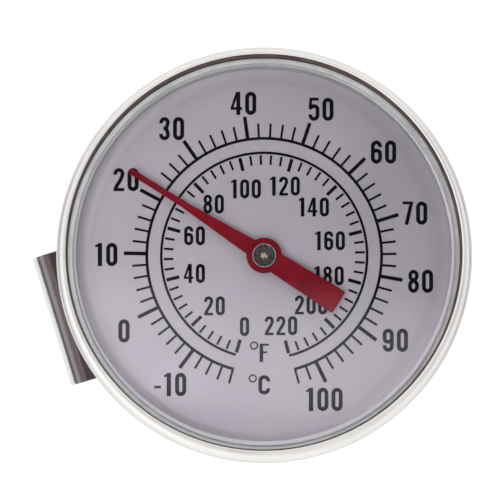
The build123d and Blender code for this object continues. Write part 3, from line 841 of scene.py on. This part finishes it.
FAHRENHEIT_LABELS = {
    0: (-2.48, -8.93), 20: (-6.27, -6.32), 40: (-8.80, -2.24), 60: (-8.78, 2.52),
    80: (-6.38, 6.51), 100: (-2.31, 8.43), 120: (2.61, 8.78), 140: (6.25, 6.14),
    160: (8.29, 1.89), 180: (8.15, -2.52), 200: (5.91, -6.20), 220: (2.11, -8.82),
}


def bow(centre, radii, start, end, steps=16):
    """Points of an elliptical arc, its angles in degrees."""
    turns = [radians(start + (end - start) * k / steps) for k in range(steps + 1)]
    return [(centre[0] + radii[0] * cos(a), centre[1] + radii[1] * sin(a)) for a in turns]


def ribbon(line, width, closed=False):
    """Quads of a stroke of even width along a line of points, as (points, faces)."""
    looped = [line[-1], *line, line[0]] if closed else line
    left, right = beside(looped, width / 2), beside(looped, -width / 2)
    if closed:
        left, right = left[1:-1], right[1:-1]
    count = len(left)
    last = count if closed else count - 1
    faces = [[count + i, count + (i + 1) % count, (i + 1) % count, i] for i in range(last)]
    return left + right, faces


def printed(strokes):
    """Raised ink where the strokes are, as one closed surface."""
    points, faces = join(*strokes)
    found, _, triangles, _, _, sources = delaunay_2d_cdt([Vector(p) for p in points], [], faces, 1, 1e-5)
    inked = [list(face) for face, source in zip(triangles, sources) if source]
    low_z, high_z = DIAL_TOP_Z - PRINT_SINK, DIAL_TOP_Z + PRINT_T
    used = {}
    for face in inked:
        for a, b in zip(face, face[1:] + face[:1]):
            used[frozenset((a, b))] = None if frozenset((a, b)) in used else (a, b)
    count = len(found)
    walls = [[a, b, b + count, a + count] for pair in used.values() if pair for a, b in [pair]]
    upper = [[i + count for i in face] for face in inked]
    both = [(p.x, p.y, low_z) for p in found] + [(p.x, p.y, high_z) for p in found]
    return drop_loose((both, [face[::-1] for face in inked] + upper + walls))


def drop_loose(shell):
    """The same surface without points that no face uses."""
    points, faces = shell
    kept = sorted({i for face in faces for i in face})
    number = {old: new for new, old in enumerate(kept)}
    return [points[i] for i in kept], [[number[i] for i in face] for face in faces]


def spoke(angle, inner_r, outer_r, width):
    """A tick as a stroke."""
    ends = [(r * cos(angle), r * sin(angle)) for r in (inner_r, outer_r)]
    return ribbon(ends, width)


def arc_line(radius, start, end):
    """Points of a scale's arc, from one angle to another."""
    steps = ceil(abs(end - start) / radians(1.5))
    turns = [start + (end - start) * k / steps for k in range(steps + 1)]
    return [(radius * cos(a), radius * sin(a)) for a in turns]


def scale(zero, step, values, arc, tick_r, short, long, overshoot=0.0):
    """A scale's arc and its ticks from tick_r, long on every fifth value from zero. Its angle falls as the
    values rise. arc is a radius and a width, and so are short and long."""
    start, end = (radians(zero - step * value) for value in (values[0], values[-1]))
    strokes = [ribbon(arc_line(arc[0], start + overshoot, end - overshoot), arc[1])]
    for value in values:
        far_r, width = short if value % (5 * values.step) else long
        near, far = sorted((tick_r, far_r))
        strokes.append(spoke(radians(zero - step * value), near, far, width))
    return printed(strokes)


# glyphs are drawn in a box one unit high, their middle at x = 0
PEN = 0.17
HALF = 0.155  # from a glyph's middle to the middle of its upright strokes
BOW = 0.165  # height of a round end, to the middle of the stroke
LOW, HIGH = PEN / 2, 1 - PEN / 2
LETTER_GAP = 0.13


def straight(*points, pen):
    """An open stroke through points."""
    return list(points), pen, False


def glyph(char):
    """A glyph's width and its strokes, each a line, a pen width and whether it is closed."""
    top, foot, round_end = (0, HIGH - BOW), (0, LOW + BOW), (HALF, BOW)
    if char == "0":
        return 0.48, [(bow(top, round_end, 180, 0) + bow(foot, round_end, 0, -180), PEN, True)]
    if char == "1":
        return 0.35, [straight((0.035, 0), (0.035, 0.995), pen=0.185),
                      straight((-0.165, 0.84), (0.035, 0.95), pen=0.10)]
    if char == "2":
        slant = [(0.125, 0.62), (0.06, 0.47), (-0.06, 0.28), (-0.13, 0.16), (-0.155, 0.07)]
        return 0.48, [straight(*bow(top, round_end, 195, -12), *slant, pen=0.16),
                      straight((-0.235, 0.07), (0.23, 0.07), pen=0.14)]
    if char == "3":
        upper = bow((-0.02, 0.765), (0.145, 0.155), 195, -25)
        lower = bow((-0.02, 0.235), (0.15, 0.155), 25, -195)
        return 0.43, [straight(*upper, (0.075, 0.565), (-0.02, 0.52), pen=0.155),
                      straight((-0.02, 0.505), (0.075, 0.46), *lower, pen=0.16),
                      straight((-0.07, 0.512), (0.02, 0.512), pen=0.125)]
    if char == "4":
        return 0.50, [straight((0.085, 0), (0.085, 0.995), pen=0.17),
                      straight((0.045, 0.985), (-0.20, 0.275), pen=0.115),
                      straight((-0.25, 0.275), (0.25, 0.275), pen=0.12)]
    if char == "5":
        bowl = bow((0, 0.50), (HALF, 0.14), 150, 0) + bow(foot, round_end, 0, -192)
        return 0.47, [straight((-0.15, 0.53), *bowl, pen=0.165),
                      straight((-0.195, 0.94), (0.21, 0.94), pen=0.12),
                      straight((-0.135, 0.99), (-0.16, 0.50), pen=0.125)]
    if char in "69":
        body = bow(top, round_end, -12, 180) + bow(foot, round_end, 180, 360)
        body += bow((0, 0.44), (HALF, 0.125), 0, 165)
        return 0.48, [straight(*(body if char == "6" else [(-x, 1 - y) for x, y in body]), pen=0.165)]
    if char == "7":
        return 0.45, [straight((-0.225, 0.94), (0.225, 0.94), pen=0.12),
                      straight((0.155, 0.96), (-0.065, 0), pen=0.155)]
    if char == "8":
        return 0.47, [(bow((0, 0.735), (0.145, 0.18), 0, 360, 32)[:-1], 0.155, True),
                      (bow((0, 0.295), (0.155, 0.215), 0, 360, 32)[:-1], 0.16, True)]
    if char == "-":
        return 0.29, [straight((-0.145, 0.39), (0.145, 0.39), pen=0.105)]
    if char == "C":
        ends = bow((0, 0.735), (0.205, 0.17), -18, 180) + bow((0, 0.265), (0.205, 0.17), 180, 378)
        return 0.60, [straight(*ends, pen=0.19)]
    return 0.52, [straight((-0.155, 0), (-0.155, 1), pen=0.20),
                  straight((-0.25, 0.945), (0.26, 0.945), pen=0.11),
                  straight((-0.16, 0.53), (0.165, 0.53), pen=0.10)]


def lettering(text, height, centre):
    """Strokes of a line of upright text about its centre."""
    glyphs = [glyph(char) for char in text]
    total = sum(width for width, _ in glyphs) + LETTER_GAP * (len(glyphs) - 1)
    x = centre[0] - total * height / 2
    strokes = []
    for width, lines in glyphs:
        middle = x + width * height / 2
        for line, pen, closed in lines:
            moved = [(middle + px * height, centre[1] + (py - 0.5) * height) for px, py in line]
            strokes.append(ribbon(moved, pen * height, closed))
        x += (width + LETTER_GAP) * height
    return strokes


def numerals(labels, height):
    """Upright numerals round a scale."""
    return join(*[printed(lettering(str(value), height, middle)) for value, middle in labels.items()])


def unit_letters():
    """The F and C with their degree rings."""
    rings = [circle(centre, DEGREE_R, 40) for centre in ((-1.28, -11.33), (-1.44, -15.47))]
    shells = [printed([ribbon(points, DEGREE_WIDTH, True)]) for points in rings]
    shells.append(printed(lettering("F", 2.28, (0.0, -12.24))))
    shells.append(printed(lettering("C", 2.43, (0.0, -16.28))))
    return join(*shells)


def build_print(materials):
    """Both scales, their numerals and the unit letters, in black ink on the dial."""
    shells = [
        ("celsius_scale", scale(CELSIUS_ZERO, CELSIUS_STEP, range(-18, 105, 2), CELSIUS_ARC, CELSIUS_ARC[0],
                                CELSIUS_SHORT_TICK, CELSIUS_LONG_TICK, 0.008)),
        ("fahrenheit_scale", scale(FAHRENHEIT_ZERO, FAHRENHEIT_STEP, range(0, 221, 4), FAHRENHEIT_ARC,
                                   FAHRENHEIT_TICK_R, FAHRENHEIT_SHORT_TICK, FAHRENHEIT_LONG_TICK)),
        ("celsius_numerals", numerals(CELSIUS_LABELS, CELSIUS_HEIGHT)),
        ("fahrenheit_numerals", numerals(FAHRENHEIT_LABELS, FAHRENHEIT_HEIGHT)),
        ("unit_letters", unit_letters()),
    ]
    add_pieces(materials, "head", [(name, shell, "dial_print", None) for name, shell in shells])


# ---------------------------------------------------------------- stem
NUT_FLATS = 10.0
NUT_FACE_R = 4.9  # the round face inside the nut's chamfer
NUT_CORNER_R = 5.8  # the chamfer is this far out where it has its full height
NUT_CHAMFER = 0.5
NUT_TOP_Z = 5.0
NUT_EDGE = 0.3
GROOVE_R = 3.1
GROOVE_Z = (7.32, 7.83)
NUT_BORE_R = STEM_R + 0.02
NUT_MOUTH = 0.35
ROLL_Z = -243.0  # of the groove rolled into the sheath
ROLL_R = 0.7
ROLL_DEPTH = 0.2
SPIGOT = 2.5  # of the tip's plug in the sheath


def nut_shell():
    """Hexagon with chamfered corners, and a round grooved neck above it."""
    across_corners = NUT_FLATS / sqrt(3)
    angles = [radians(60 * i + 30) for i in range(6)]
    corners = [(across_corners * sin(a), across_corners * cos(a)) for a in reversed(angles)]
    hexagon = []
    plan = rounded(corners, [NUT_EDGE] * 6)
    for here, after in zip(plan, plan[1:] + plan[:1]):
        steps = max(1, ceil(hypot(after[0] - here[0], after[1] - here[1]) / 0.3))
        hexagon += [(here[0] + (after[0] - here[0]) * k / steps, here[1] + (after[1] - here[1]) * k / steps)
                    for k in range(steps)]
    turns = [atan2(y, x) for x, y in hexagon]
    cut = [NUT_CHAMFER * (hypot(x, y) - NUT_FACE_R) / (NUT_CORNER_R - NUT_FACE_R) for x, y in hexagon]
    neck = rounded([
        (NUT_FACE_R, NUT_TOP_Z),
        (NECK_R, NUT_TOP_Z),
        (NECK_R, GROOVE_Z[0]),
        (GROOVE_R, GROOVE_Z[0]),
        (GROOVE_R, GROOVE_Z[1]),
        (NECK_R, GROOVE_Z[1]),
        (NECK_R, STEM_TOP_Z),
        (NUT_BORE_R, STEM_TOP_Z),
        (NUT_BORE_R, NUT_MOUTH),
        (NUT_BORE_R + NUT_MOUTH, 0),
        (NUT_FACE_R, 0),
    ], [0, 0.05, 0, 0, 0, 0, 0.08, 0.08, 0, 0, 0], closed=False)
    low = [(x, y, z) for (x, y), z in zip(hexagon, cut)]
    high = [(x, y, NUT_TOP_Z - z) for (x, y), z in zip(hexagon, cut)]
    return skin([low, high] + [ring(r, z, turns) for r, z in neck])


def tube_shell():
    """Thin-walled sheath with a rolled groove above the sensing end."""
    reach_up = sqrt(ROLL_R ** 2 - (ROLL_R - ROLL_DEPTH) ** 2)
    groove = [(STEM_R + ROLL_R - ROLL_DEPTH - ROLL_R * cos(a), ROLL_Z + ROLL_R * sin(a))
              for a in [asin(reach_up / ROLL_R) * k / 8 for k in range(-8, 9)]]
    outer = [(STEM_R, TUBE_END_Z), *groove, (STEM_R, STEM_TOP_Z)]
    inner = [(STEM_R - TUBE_WALL, STEM_TOP_Z), (STEM_R - TUBE_WALL, TUBE_END_Z)]
    edges = [0.05] + [0] * len(groove) + [0.05] * 3
    return lathe(rounded(outer + inner, edges))


def tip_shell():
    """Domed plug that closes the sheath."""
    spigot_r = STEM_R - TUBE_WALL - 0.02
    angles = [pi / 2 * k / 24 for k in range(23, 0, -1)]
    dome = [(0, STEM_END_Z)] + [(STEM_R * cos(a), TUBE_END_Z - STEM_R * sin(a)) for a in angles]
    section = dome + [(STEM_R, TUBE_END_Z - 0.02), (STEM_R - 0.04, TUBE_END_Z), (spigot_r, TUBE_END_Z),
                      (spigot_r, TUBE_END_Z + SPIGOT), (0, TUBE_END_Z + SPIGOT)]
    return lathe(section)


HIDDEN_FIXINGS = {  # slot: the carried-over CAD nodes that take it
    "spring_steel": ["spring_washer", "retaining_ring"],
    "washer_steel": ["thrust_washer", "coil_anchor"],
    "brass": ["guide_bush_1", "guide_bush_2", "guide_bush_3", "upper_bearing", "coil_collet"],
    "bimetal_strip": ["bimetal_coil"],
    "spindle_steel": ["spindle"],
}


def build_stem(materials):
    """Nut, seal washer, sheath and tip, and the finish of the hidden fixings."""
    washer = lathe_rounded(ring_section(NECK_R + 0.02, WASHER_R, WASHER_Z, WASHER_TOP_Z), 0.08)
    add_pieces(materials, "stem", [
        ("calibration_nut", nut_shell(), "nut_steel", "hex_nut"),
        ("sealing_washer", washer, "seal_ptfe", "seal_washer"),
        ("stem_sheath", tube_shell(), "stem_steel", "stem_tube"),
        ("stem_tip", tip_shell(), "stem_steel", "stem_plug"),
    ])
    for slot, nodes in HIDDEN_FIXINGS.items():
        for node in nodes:
            paint_node(node, materials[slot])


# ---------------------------------------------------------------- needle
POINTER_ANGLE = radians(147.7)  # from +X towards +Y
POINTER_LENGTH = 19.95
POINTER_TAIL = 11.1
HUB_R = 2.25
BLADE_ROOT = 2.3  # the blade's width if it went on to the pointer's middle
BLADE_TIP = 0.8
TAPER_END = 12.2
TAIL_ROOT = 2.6
TAIL_END = 3.2
SHANK_R = 1.0
SPINDLE_R = 0.5
ARBOR_R = 0.8
TIP_R = 0.5
PEEN_DEPTH = 0.08
CAP_RIM_W = 0.14
CAP_RIM_H = 0.12
CAP_TOP_Z = CAP_RIM_Z - CAP_RIM_H
SEAT_Z = (10.6, 11.1)
TIP_SHOULDER_Z = CAP_TOP_Z - 0.2


def hub_crossing(root, far):
    """Angle round the hub where the edge from (0, root) to far leaves its circle."""
    slope = (far[1] - root) / far[0]
    half_b, c = slope * root, root ** 2 - HUB_R ** 2
    reach_x = sqrt(half_b ** 2 - (1 + slope ** 2) * c)
    x = (-half_b + (reach_x if far[0] > 0 else -reach_x)) / (1 + slope ** 2)
    return atan2(root + slope * x, x)


def pointer_shell():
    """Stamped blade, hub and tail with softly rounded edges."""
    blade = hub_crossing(BLADE_ROOT / 2, (TAPER_END, BLADE_TIP / 2))
    tail = hub_crossing(TAIL_ROOT / 2, (-POINTER_TAIL, TAIL_END / 2))
    arc = [blade + (tail - blade) * k / 14 for k in range(15)]
    upper = [(HUB_R * cos(a), HUB_R * sin(a)) for a in arc]
    tip, tail_half = BLADE_TIP / 2, TAIL_END / 2
    points = [(POINTER_LENGTH, -tip), (POINTER_LENGTH, tip), (TAPER_END, tip), *upper]
    points += [(-POINTER_TAIL, tail_half), (-POINTER_TAIL, -tail_half)]
    points += [(x, -y) for x, y in reversed(upper)] + [(TAPER_END, -tip)]
    plain = [0] * (len(upper) + 1)
    radii = [0.1, 0.1] + plain + [0.3, 0.3] + plain
    thickness = POINTER_TOP_Z - POINTER_Z
    c, s = cos(POINTER_ANGLE), sin(POINTER_ANGLE)

    def place(x, y, depth):
        return x * c - y * s, x * s + y * c, POINTER_TOP_Z - depth

    hole = plain_hole((0, 0), SHANK_R + 0.02, thickness, 0.05)
    return plate(rounded(points, radii), [hole], [], thickness, 0.07, place)


def cap_shell():
    """Turned cap with a raised rim and a shank in the pointer's hole."""
    tip_hole, arbor_hole = TIP_R + 0.02, ARBOR_R + 0.02
    section = [
        (arbor_hole, CAP_LOW_Z),
        (SHANK_R, CAP_LOW_Z),
        (SHANK_R, POINTER_TOP_Z),
        (CAP_R, POINTER_TOP_Z),
        (CAP_R, CAP_RIM_Z),
        (CAP_R - CAP_RIM_W, CAP_RIM_Z),
        (CAP_R - CAP_RIM_W, CAP_TOP_Z),
        (tip_hole, CAP_TOP_Z),
        (tip_hole, TIP_SHOULDER_Z + 0.02),
        (arbor_hole, TIP_SHOULDER_Z + 0.02),
    ]
    return lathe(rounded(section, [0, 0, 0.03, 0.05, 0.08, 0.07, 0.05, 0.05, 0, 0]))


def arbor_shell():
    """Turned brass arbor: barrel, seat and a small domed end."""
    section = [
        (SPINDLE_R, ARBOR_Z),
        (ARBOR_R, ARBOR_Z),
        (ARBOR_R, SEAT_Z[0]),
        (SEAT_R, SEAT_Z[0]),
        (SEAT_R, SEAT_Z[1]),
        (ARBOR_R, SEAT_Z[1]),
        (ARBOR_R, TIP_SHOULDER_Z),
        (TIP_R, TIP_SHOULDER_Z),
        (TIP_R, ARBOR_TOP_Z),
        (0, ARBOR_TOP_Z),
        (0, POINTER_TOP_Z),
        (SPINDLE_R, POINTER_TOP_Z),
    ]
    shell = lathe(rounded(section, [0.04, 0.06, 0.04, 0.08, 0.08, 0.04, 0.03, 0.03, 0.12, 0, 0, 0]))
    return peened(shell, CAP_TOP_Z + 0.02)


def peened(shell, above):
    """The arbor's end above a height, beaten into uneven lumps."""
    points, faces = shell
    beaten = []
    for x, y, z in points:
        if z > above:
            r, a = hypot(x, y), atan2(y, x)
            lump = sin(2 * a + 0.4) + 0.6 * cos(3 * a + 1.1)
            swell = 1 + (0.14 + 0.14 * lump) * (z - above) / (ARBOR_TOP_Z - above)
            x, y, z = x * swell, y * swell, z - PEEN_DEPTH * (1 + lump / 1.6) * r / TIP_R
        beaten.append((x, y, z))
    return beaten, faces


def build_needle(materials):
    """Pointer, cap and arbor."""
    add_pieces(materials, "needle", [
        ("red_pointer", pointer_shell(), "pointer_red", "pointer"),
        ("hub_cap", cap_shell(), "hub_steel", "pointer_cap"),
        ("brass_arbor", arbor_shell(), "brass", "pointer_arbor"),
    ])


# ---------------------------------------------------------------- pan clip
CLIP_SHEET = 0.8
CLIP_EDGE = 0.16
BAND_WIDTH = 17.2
BRACKET_WIDTH = 13.6
EYE_R = 2.02
ARM_END_R = 5.2
LEG_U = 20.7
CLIP_REACH = 28.7
TAPER_END_U = LEG_U - 8.0
LOWER_ARM_Z = -23.6
TAB_BOTTOM_Z = -12.2
LEG_END_Z = -12.0  # the outer leg is straight down to here
NIP = (24.9, -21.5)  # where it comes nearest the inner leg, as distance out and height
LIP_END_U = 28.2
LIP_CORNER_R = 3.0
RIVET_V = 4.4
RIVET_Z = -8.6
RIVET_R = 1.0
RIVET_SINK_R = 1.6
RIVET_HEAD_R = 1.9
RIVET_HEAD_T = 0.7


def clip_point(u, v, z):
    """A point given out along the clip, across it and up."""
    return (u * CLIP_U[0] + v * CLIP_V[0], u * CLIP_U[1] + v * CLIP_V[1], z)


def strip_outline(width, end, corner_r, splits):
    """Flat outline of a strip: a round eye end, straight tapering sides, then full width to its end."""
    half, eye_s = width / 2, ARM_END_R
    taper_s = TAPER_END_U + ARM_END_R
    tangent = atan2(half, TAPER_END_U) + acos(ARM_END_R / hypot(half, TAPER_END_U))
    turns = [tangent + (2 * pi - 2 * tangent) * k / 40 for k in range(41)]
    outline = [(eye_s + ARM_END_R * cos(a), ARM_END_R * sin(a)) for a in turns]
    side = [taper_s] + [s for s in splits if taper_s < s < end - corner_r - 0.01]
    lower = rounded([(side[-1], -half), (end, -half), (end, 0)], [0, corner_r, 0], closed=False)[1:-1]
    outline += [(s, -half) for s in side] + lower
    return outline + [(s, -v) for s, v in reversed(lower)] + [(s, half) for s in reversed(side)]


def bent_strip(corners, radii, width, corner_r, holes):
    """A strip bent along its path, with its eye hole and other holes."""
    stations = bend_stations(corners, radii)
    splits = [station[0] for station in stations[1:-1]]
    outline = strip_outline(width, stations[-1][0], corner_r, splits)
    crossings = []
    for split in splits:
        pair = [i for i, (s, _) in enumerate(outline) if abs(s - split) < 1e-9]
        if len(pair) == 2:
            crossings.append(tuple(pair))

    def place(s, v, depth):
        u, z = on_path(stations, s, depth)
        return clip_point(u, v, z)

    eye = plain_hole((ARM_END_R, 0), EYE_R, CLIP_SHEET, CLIP_EDGE)
    return plate(outline, [eye, *holes(stations)], crossings, CLIP_SHEET, CLIP_EDGE, place)


def leg_length(stations, z):
    """Length along the path to a height on its first upright leg."""
    leg = next(s for s in stations if abs(s[1] - LEG_U) < 1e-6 and abs(cos(s[3])) < 1e-6)
    return leg[0] + abs(z - leg[2])


def band_shell():
    """Lower arm, inner leg, U-bend, outer leg, nip and flared lip, all one strip."""
    path = [
        (-ARM_END_R, LOWER_ARM_Z),
        (LEG_U, LOWER_ARM_Z),
        (LEG_U, BAND_TOP_Z),
        (CLIP_REACH, BAND_TOP_Z),
        (CLIP_REACH, LEG_END_Z),
        NIP,
        (LIP_END_U, BAND_LOW_Z),
    ]
    sink = [
        (RIVET_R, 0),
        (RIVET_R, 0.3),
        (RIVET_SINK_R, CLIP_SHEET - 0.02),
        (RIVET_SINK_R + 0.05, CLIP_SHEET),
    ]

    def holes(stations):
        s = leg_length(stations, RIVET_Z)
        return [((s, v), sink) for v in (-RIVET_V, RIVET_V)]

    return bent_strip(path, [1.0, 2.4, 2.4, 6.0, 3.0], BAND_WIDTH, LIP_CORNER_R, holes)


def bracket_shell():
    """Upper eye plate with a tab riveted to the band's inner leg."""
    path = [(-ARM_END_R, BRACKET_TOP_Z), (LEG_U, BRACKET_TOP_Z), (LEG_U, TAB_BOTTOM_Z)]

    def holes(stations):
        s = leg_length(stations, RIVET_Z)
        return [plain_hole((s, v), RIVET_R, CLIP_SHEET, 0.08) for v in (-RIVET_V, RIVET_V)]

    return bent_strip(path, [1.8], BRACKET_WIDTH, 0.8, holes)


def rivet_shell(v):
    """One rivet: a domed head by the stem and a flush end in the band's countersink."""
    head_u = LEG_U - CLIP_SHEET
    profile = rounded([
        (0, head_u - RIVET_HEAD_T),
        (RIVET_HEAD_R, head_u - RIVET_HEAD_T),
        (RIVET_HEAD_R, head_u),
        (RIVET_R - 0.02, head_u),
        (RIVET_R - 0.02, head_u + 2 * CLIP_SHEET),
        (0, head_u + 2 * CLIP_SHEET),
    ], [0, 0.55, 0.06, 0, 0.08, 0])
    angles = full_turn(48)
    return skin([[clip_point(u, v + r * cos(a), RIVET_Z + r * sin(a)) for a in angles] for r, u in profile])


def sleeve_shell():
    """Spring sleeve with a bead at each end, split along one side."""
    inner_r, plain_r, bead, cone, slot = STEM_R + 0.05, 2.75, 1.2, 0.4, 1.0
    section = rounded([
        (inner_r, SLEEVE_Z),
        (SLEEVE_R, SLEEVE_Z),
        (SLEEVE_R, SLEEVE_Z + bead),
        (plain_r, SLEEVE_Z + bead + cone),
        (plain_r, SLEEVE_TOP_Z - bead - cone),
        (SLEEVE_R, SLEEVE_TOP_Z - bead),
        (SLEEVE_R, SLEEVE_TOP_Z),
        (inner_r, SLEEVE_TOP_Z),
    ], [0.1, 0.25, 0.25, 0.15, 0.15, 0.25, 0.25, 0.1])
    count = 90
    rings = []
    for r, z in section:
        half = asin(slot / 2 / r)
        turns = [CLIP_DIRECTION + half + (2 * pi - 2 * half) * k / count for k in range(count + 1)]
        rings.append(ring(r, z, turns))
    points, faces = skin(rings, around=False)
    step = count + 1
    faces.append([i * step for i in range(len(section))])
    faces.append([i * step + count for i in range(len(section))])
    return points, faces


def build_clip(materials):
    """Strip, eye plate, rivets and the sleeve that grips the stem."""
    add_pieces(materials, "clip", [
        ("clip_strip", band_shell(), "clip_steel", "clip_band"),
        ("clip_eye_plate", bracket_shell(), "clip_steel", "clip_bracket"),
        ("clip_rivet_pair", join(rivet_shell(-RIVET_V), rivet_shell(RIVET_V)), "rivet_steel", "clip_rivets"),
    ])
    add_pieces(materials, "clip_slider", [("split_sleeve", sleeve_shell(), "sleeve_steel", "grip_sleeve")])


# ---------------------------------------------------------------- floor, light and camera
FLOOR_DROP = 2.0  # below the tip of the stem
FLOOR_R = 3000.0
FLOOR_RINGS = 24
CAMERA_RISE = 470.0  # above the rim
PICTURE_WIDTH = 62.39  # of the object at the rim's height
FRAMING = (-1.79, 0.62)  # the picture's middle at the rim's height
CAMERA_DROP = 9.5  # the camera is this far towards -Y of straight over that
SENSOR = 36.0
TENT_STRENGTH = 1.3
TENT_STOPS = [(-1.0, 0.93), (0.0, 0.97), (0.3, 1.0), (1.0, 1.0)]
OPENING_STOPS = [(0.968, 1.0), (0.978, 0.5), (0.985, 0.05), (1.0, 0.012)]
OPENING = (0.085, 0.05, 0.995)  # towards the middle of the dark opening
SIDE_SPAN = (0.68, 0.97)  # how far to the side the tent starts and stops getting darker
SIDE_SHADE = 0.6  # its brightness from there on, against the rest
FLAG_SIDE = (0.74, 0.90)  # how far to the side a flag sets in
FLAG_LEVEL = (0.07, 0.22)  # how far from level it ends
FLAG_SHADE = 0.22  # what a flag leaves of the tent's brightness
KEY_RADIANCE = 1.35
KEY_PLACE = (-270, -215, 900)
KEY_SIZE = (300, 300)
VEIL_Z = 620.0
VEIL_GAP = 5.0  # the cards hang this far above one another
VEIL_RADIANCE = 0.75
VEIL_STEPS = [  # left, right, low and top side, share of the brightness
    (-60.0, 66.0, -36.0, 4.5, 0.10),
    (-59.0, 65.0, -35.0, 2.5, 0.12),
    (-58.0, 64.0, -34.0, 0.5, 0.13),
    (-57.0, 63.0, -33.0, -1.5, 0.14),
    (-56.0, 62.0, -32.0, -3.5, 0.15),
    (-55.0, 61.0, -31.0, -5.5, 0.15),
    (-54.0, 60.0, -30.0, -7.5, 0.13),
]
VEIL_ROLL = radians(-6.3)
VEIL_COLOUR = (0.98, 0.96, 1.0)


def build_floor():
    """Plain pale floor with a faint unevenness."""
    paint = Paint("floor_white", roughness=0.7, specular_ior_level=0.2)
    material = paint.done(paint.blend(paint.noise(0.004, 2.0, 0.5), (0.89, 0.89, 0.89), (0.91, 0.91, 0.91)))
    z = STEM_END_Z - FLOOR_DROP
    rings = [ring(FLOOR_R * i / FLOOR_RINGS, z, full_turn(96)) for i in range(FLOOR_RINGS + 1)]
    floor = bpy.data.objects.new("floor", finish_mesh("floor", skin(rings, loop=False)))
    bpy.context.scene.collection.objects.link(floor)
    floor.data.materials.append(material)


def greys(nodes, factor, stops):
    """Grey levels by height or by closeness to a direction, both from -1 to 1."""
    return nodes.ramp(nodes.spread(factor, 0.0, 1.0, -1.0, 1.0),
                      [((place + 1) / 2, (value,) * 3) for place, value in stops])


def low_flags(nodes, side, height):
    """Dark flags low down on both sides, that give upright metal its dark lines."""
    across = nodes.spread(side, 0.0, 1.0, *FLAG_SIDE)
    level = nodes.spread(nodes.maths("ABSOLUTE", height), 1.0, 0.0, *FLAG_LEVEL)
    return nodes.spread(nodes.times(across, level), 1.0, FLAG_SHADE, 0.0, 1.0)


def build_world():
    """Light tent: white all round, darker to both sides, with a dark opening nearly overhead."""
    world = bpy.data.worlds.new("light_tent")
    bpy.context.scene.world = world
    world.use_nodes = True
    nodes = Nodes(world.node_tree)
    background = nodes.tree.nodes["Background"]
    background.inputs["Strength"].default_value = TENT_STRENGTH
    direction = nodes.node("ShaderNodeTexCoord").outputs["Generated"]
    x, _, z = nodes.split(direction)
    side = nodes.maths("ABSOLUTE", x)
    closeness = nodes.node("ShaderNodeVectorMath", direction, OPENING, operation="DOT_PRODUCT")
    opening = greys(nodes, closeness.outputs["Value"], OPENING_STOPS)
    tent = nodes.product(greys(nodes, z, TENT_STOPS), nodes.spread(side, 1.0, SIDE_SHADE, *SIDE_SPAN))
    tent = nodes.product(tent, low_flags(nodes, side, z))
    nodes.link(nodes.product(tent, opening), background.inputs["Color"])
    plain = nodes.node("ShaderNodeBackground", (1.0, 1.0, 1.0, 1.0)).outputs[0]
    seen = nodes.node("ShaderNodeLightPath").outputs["Is Camera Ray"]
    mixed = nodes.node("ShaderNodeMixShader", seen, background.outputs[0], plain).outputs[0]
    nodes.link(mixed, nodes.tree.nodes["World Output"].inputs["Surface"])


def add_card(name, centre, size, radiance, target, colour=(1.0, 1.0, 1.0), roll=0.0):
    """A soft rectangular light of a given brightness that faces a target."""
    data = bpy.data.lights.new(name, "AREA")
    data.shape = "RECTANGLE"
    data.size, data.size_y = (length * MM for length in size)
    data.energy = radiance * pi * data.size * data.size_y
    data.color = colour
    card = bpy.data.objects.new(name, data)
    bpy.context.scene.collection.objects.link(card)
    card.location = Vector(centre) * MM
    aim = (Vector(target) - Vector(centre)).normalized()
    turn = aim.to_track_quat("-Z", "Y")
    card.rotation_euler = (Quaternion((0, 0, 1), roll) @ turn).to_euler()


def build_lights():
    """A big soft key from the left, and stepped cards that the lens mirrors over the dial's lower part."""
    add_card("key", KEY_PLACE, KEY_SIZE, KEY_RADIANCE, (0, 0, 0))
    for i, (left, right, low, top, share) in enumerate(VEIL_STEPS):
        x, y = (left + right) / 2, (top + low) / 2
        centre = (x, y, VEIL_Z + i * VEIL_GAP)
        size = (right - left, top - low)
        add_card(f"veil_{i}", centre, size, VEIL_RADIANCE * share, (x, y, 0.0), VEIL_COLOUR, VEIL_ROLL)


def build_camera():
    """Camera straight over the dial, as the object is seen from its front."""
    data = bpy.data.cameras.new("camera")
    data.sensor_width = SENSOR
    data.lens = SENSOR * CAMERA_RISE / PICTURE_WIDTH
    camera = bpy.data.objects.new("camera", data)
    bpy.context.scene.collection.objects.link(camera)
    aim = Vector((FRAMING[0], FRAMING[1], RIM_TOP_Z))
    place = aim + Vector((0, -CAMERA_DROP, CAMERA_RISE))
    camera.location = place * MM
    camera.rotation_euler = (aim - place).to_track_quat("-Z", "Y").to_euler()
    data.clip_start, data.clip_end = 0.01, 20.0
    bpy.context.scene.camera = camera


materials = make_materials()
build_head(materials)
build_print(materials)
build_stem(materials)
build_needle(materials)
build_clip(materials)
build_floor()
build_world()
build_lights()
build_camera()
bpy.context.scene.view_settings.view_transform = "Standard"
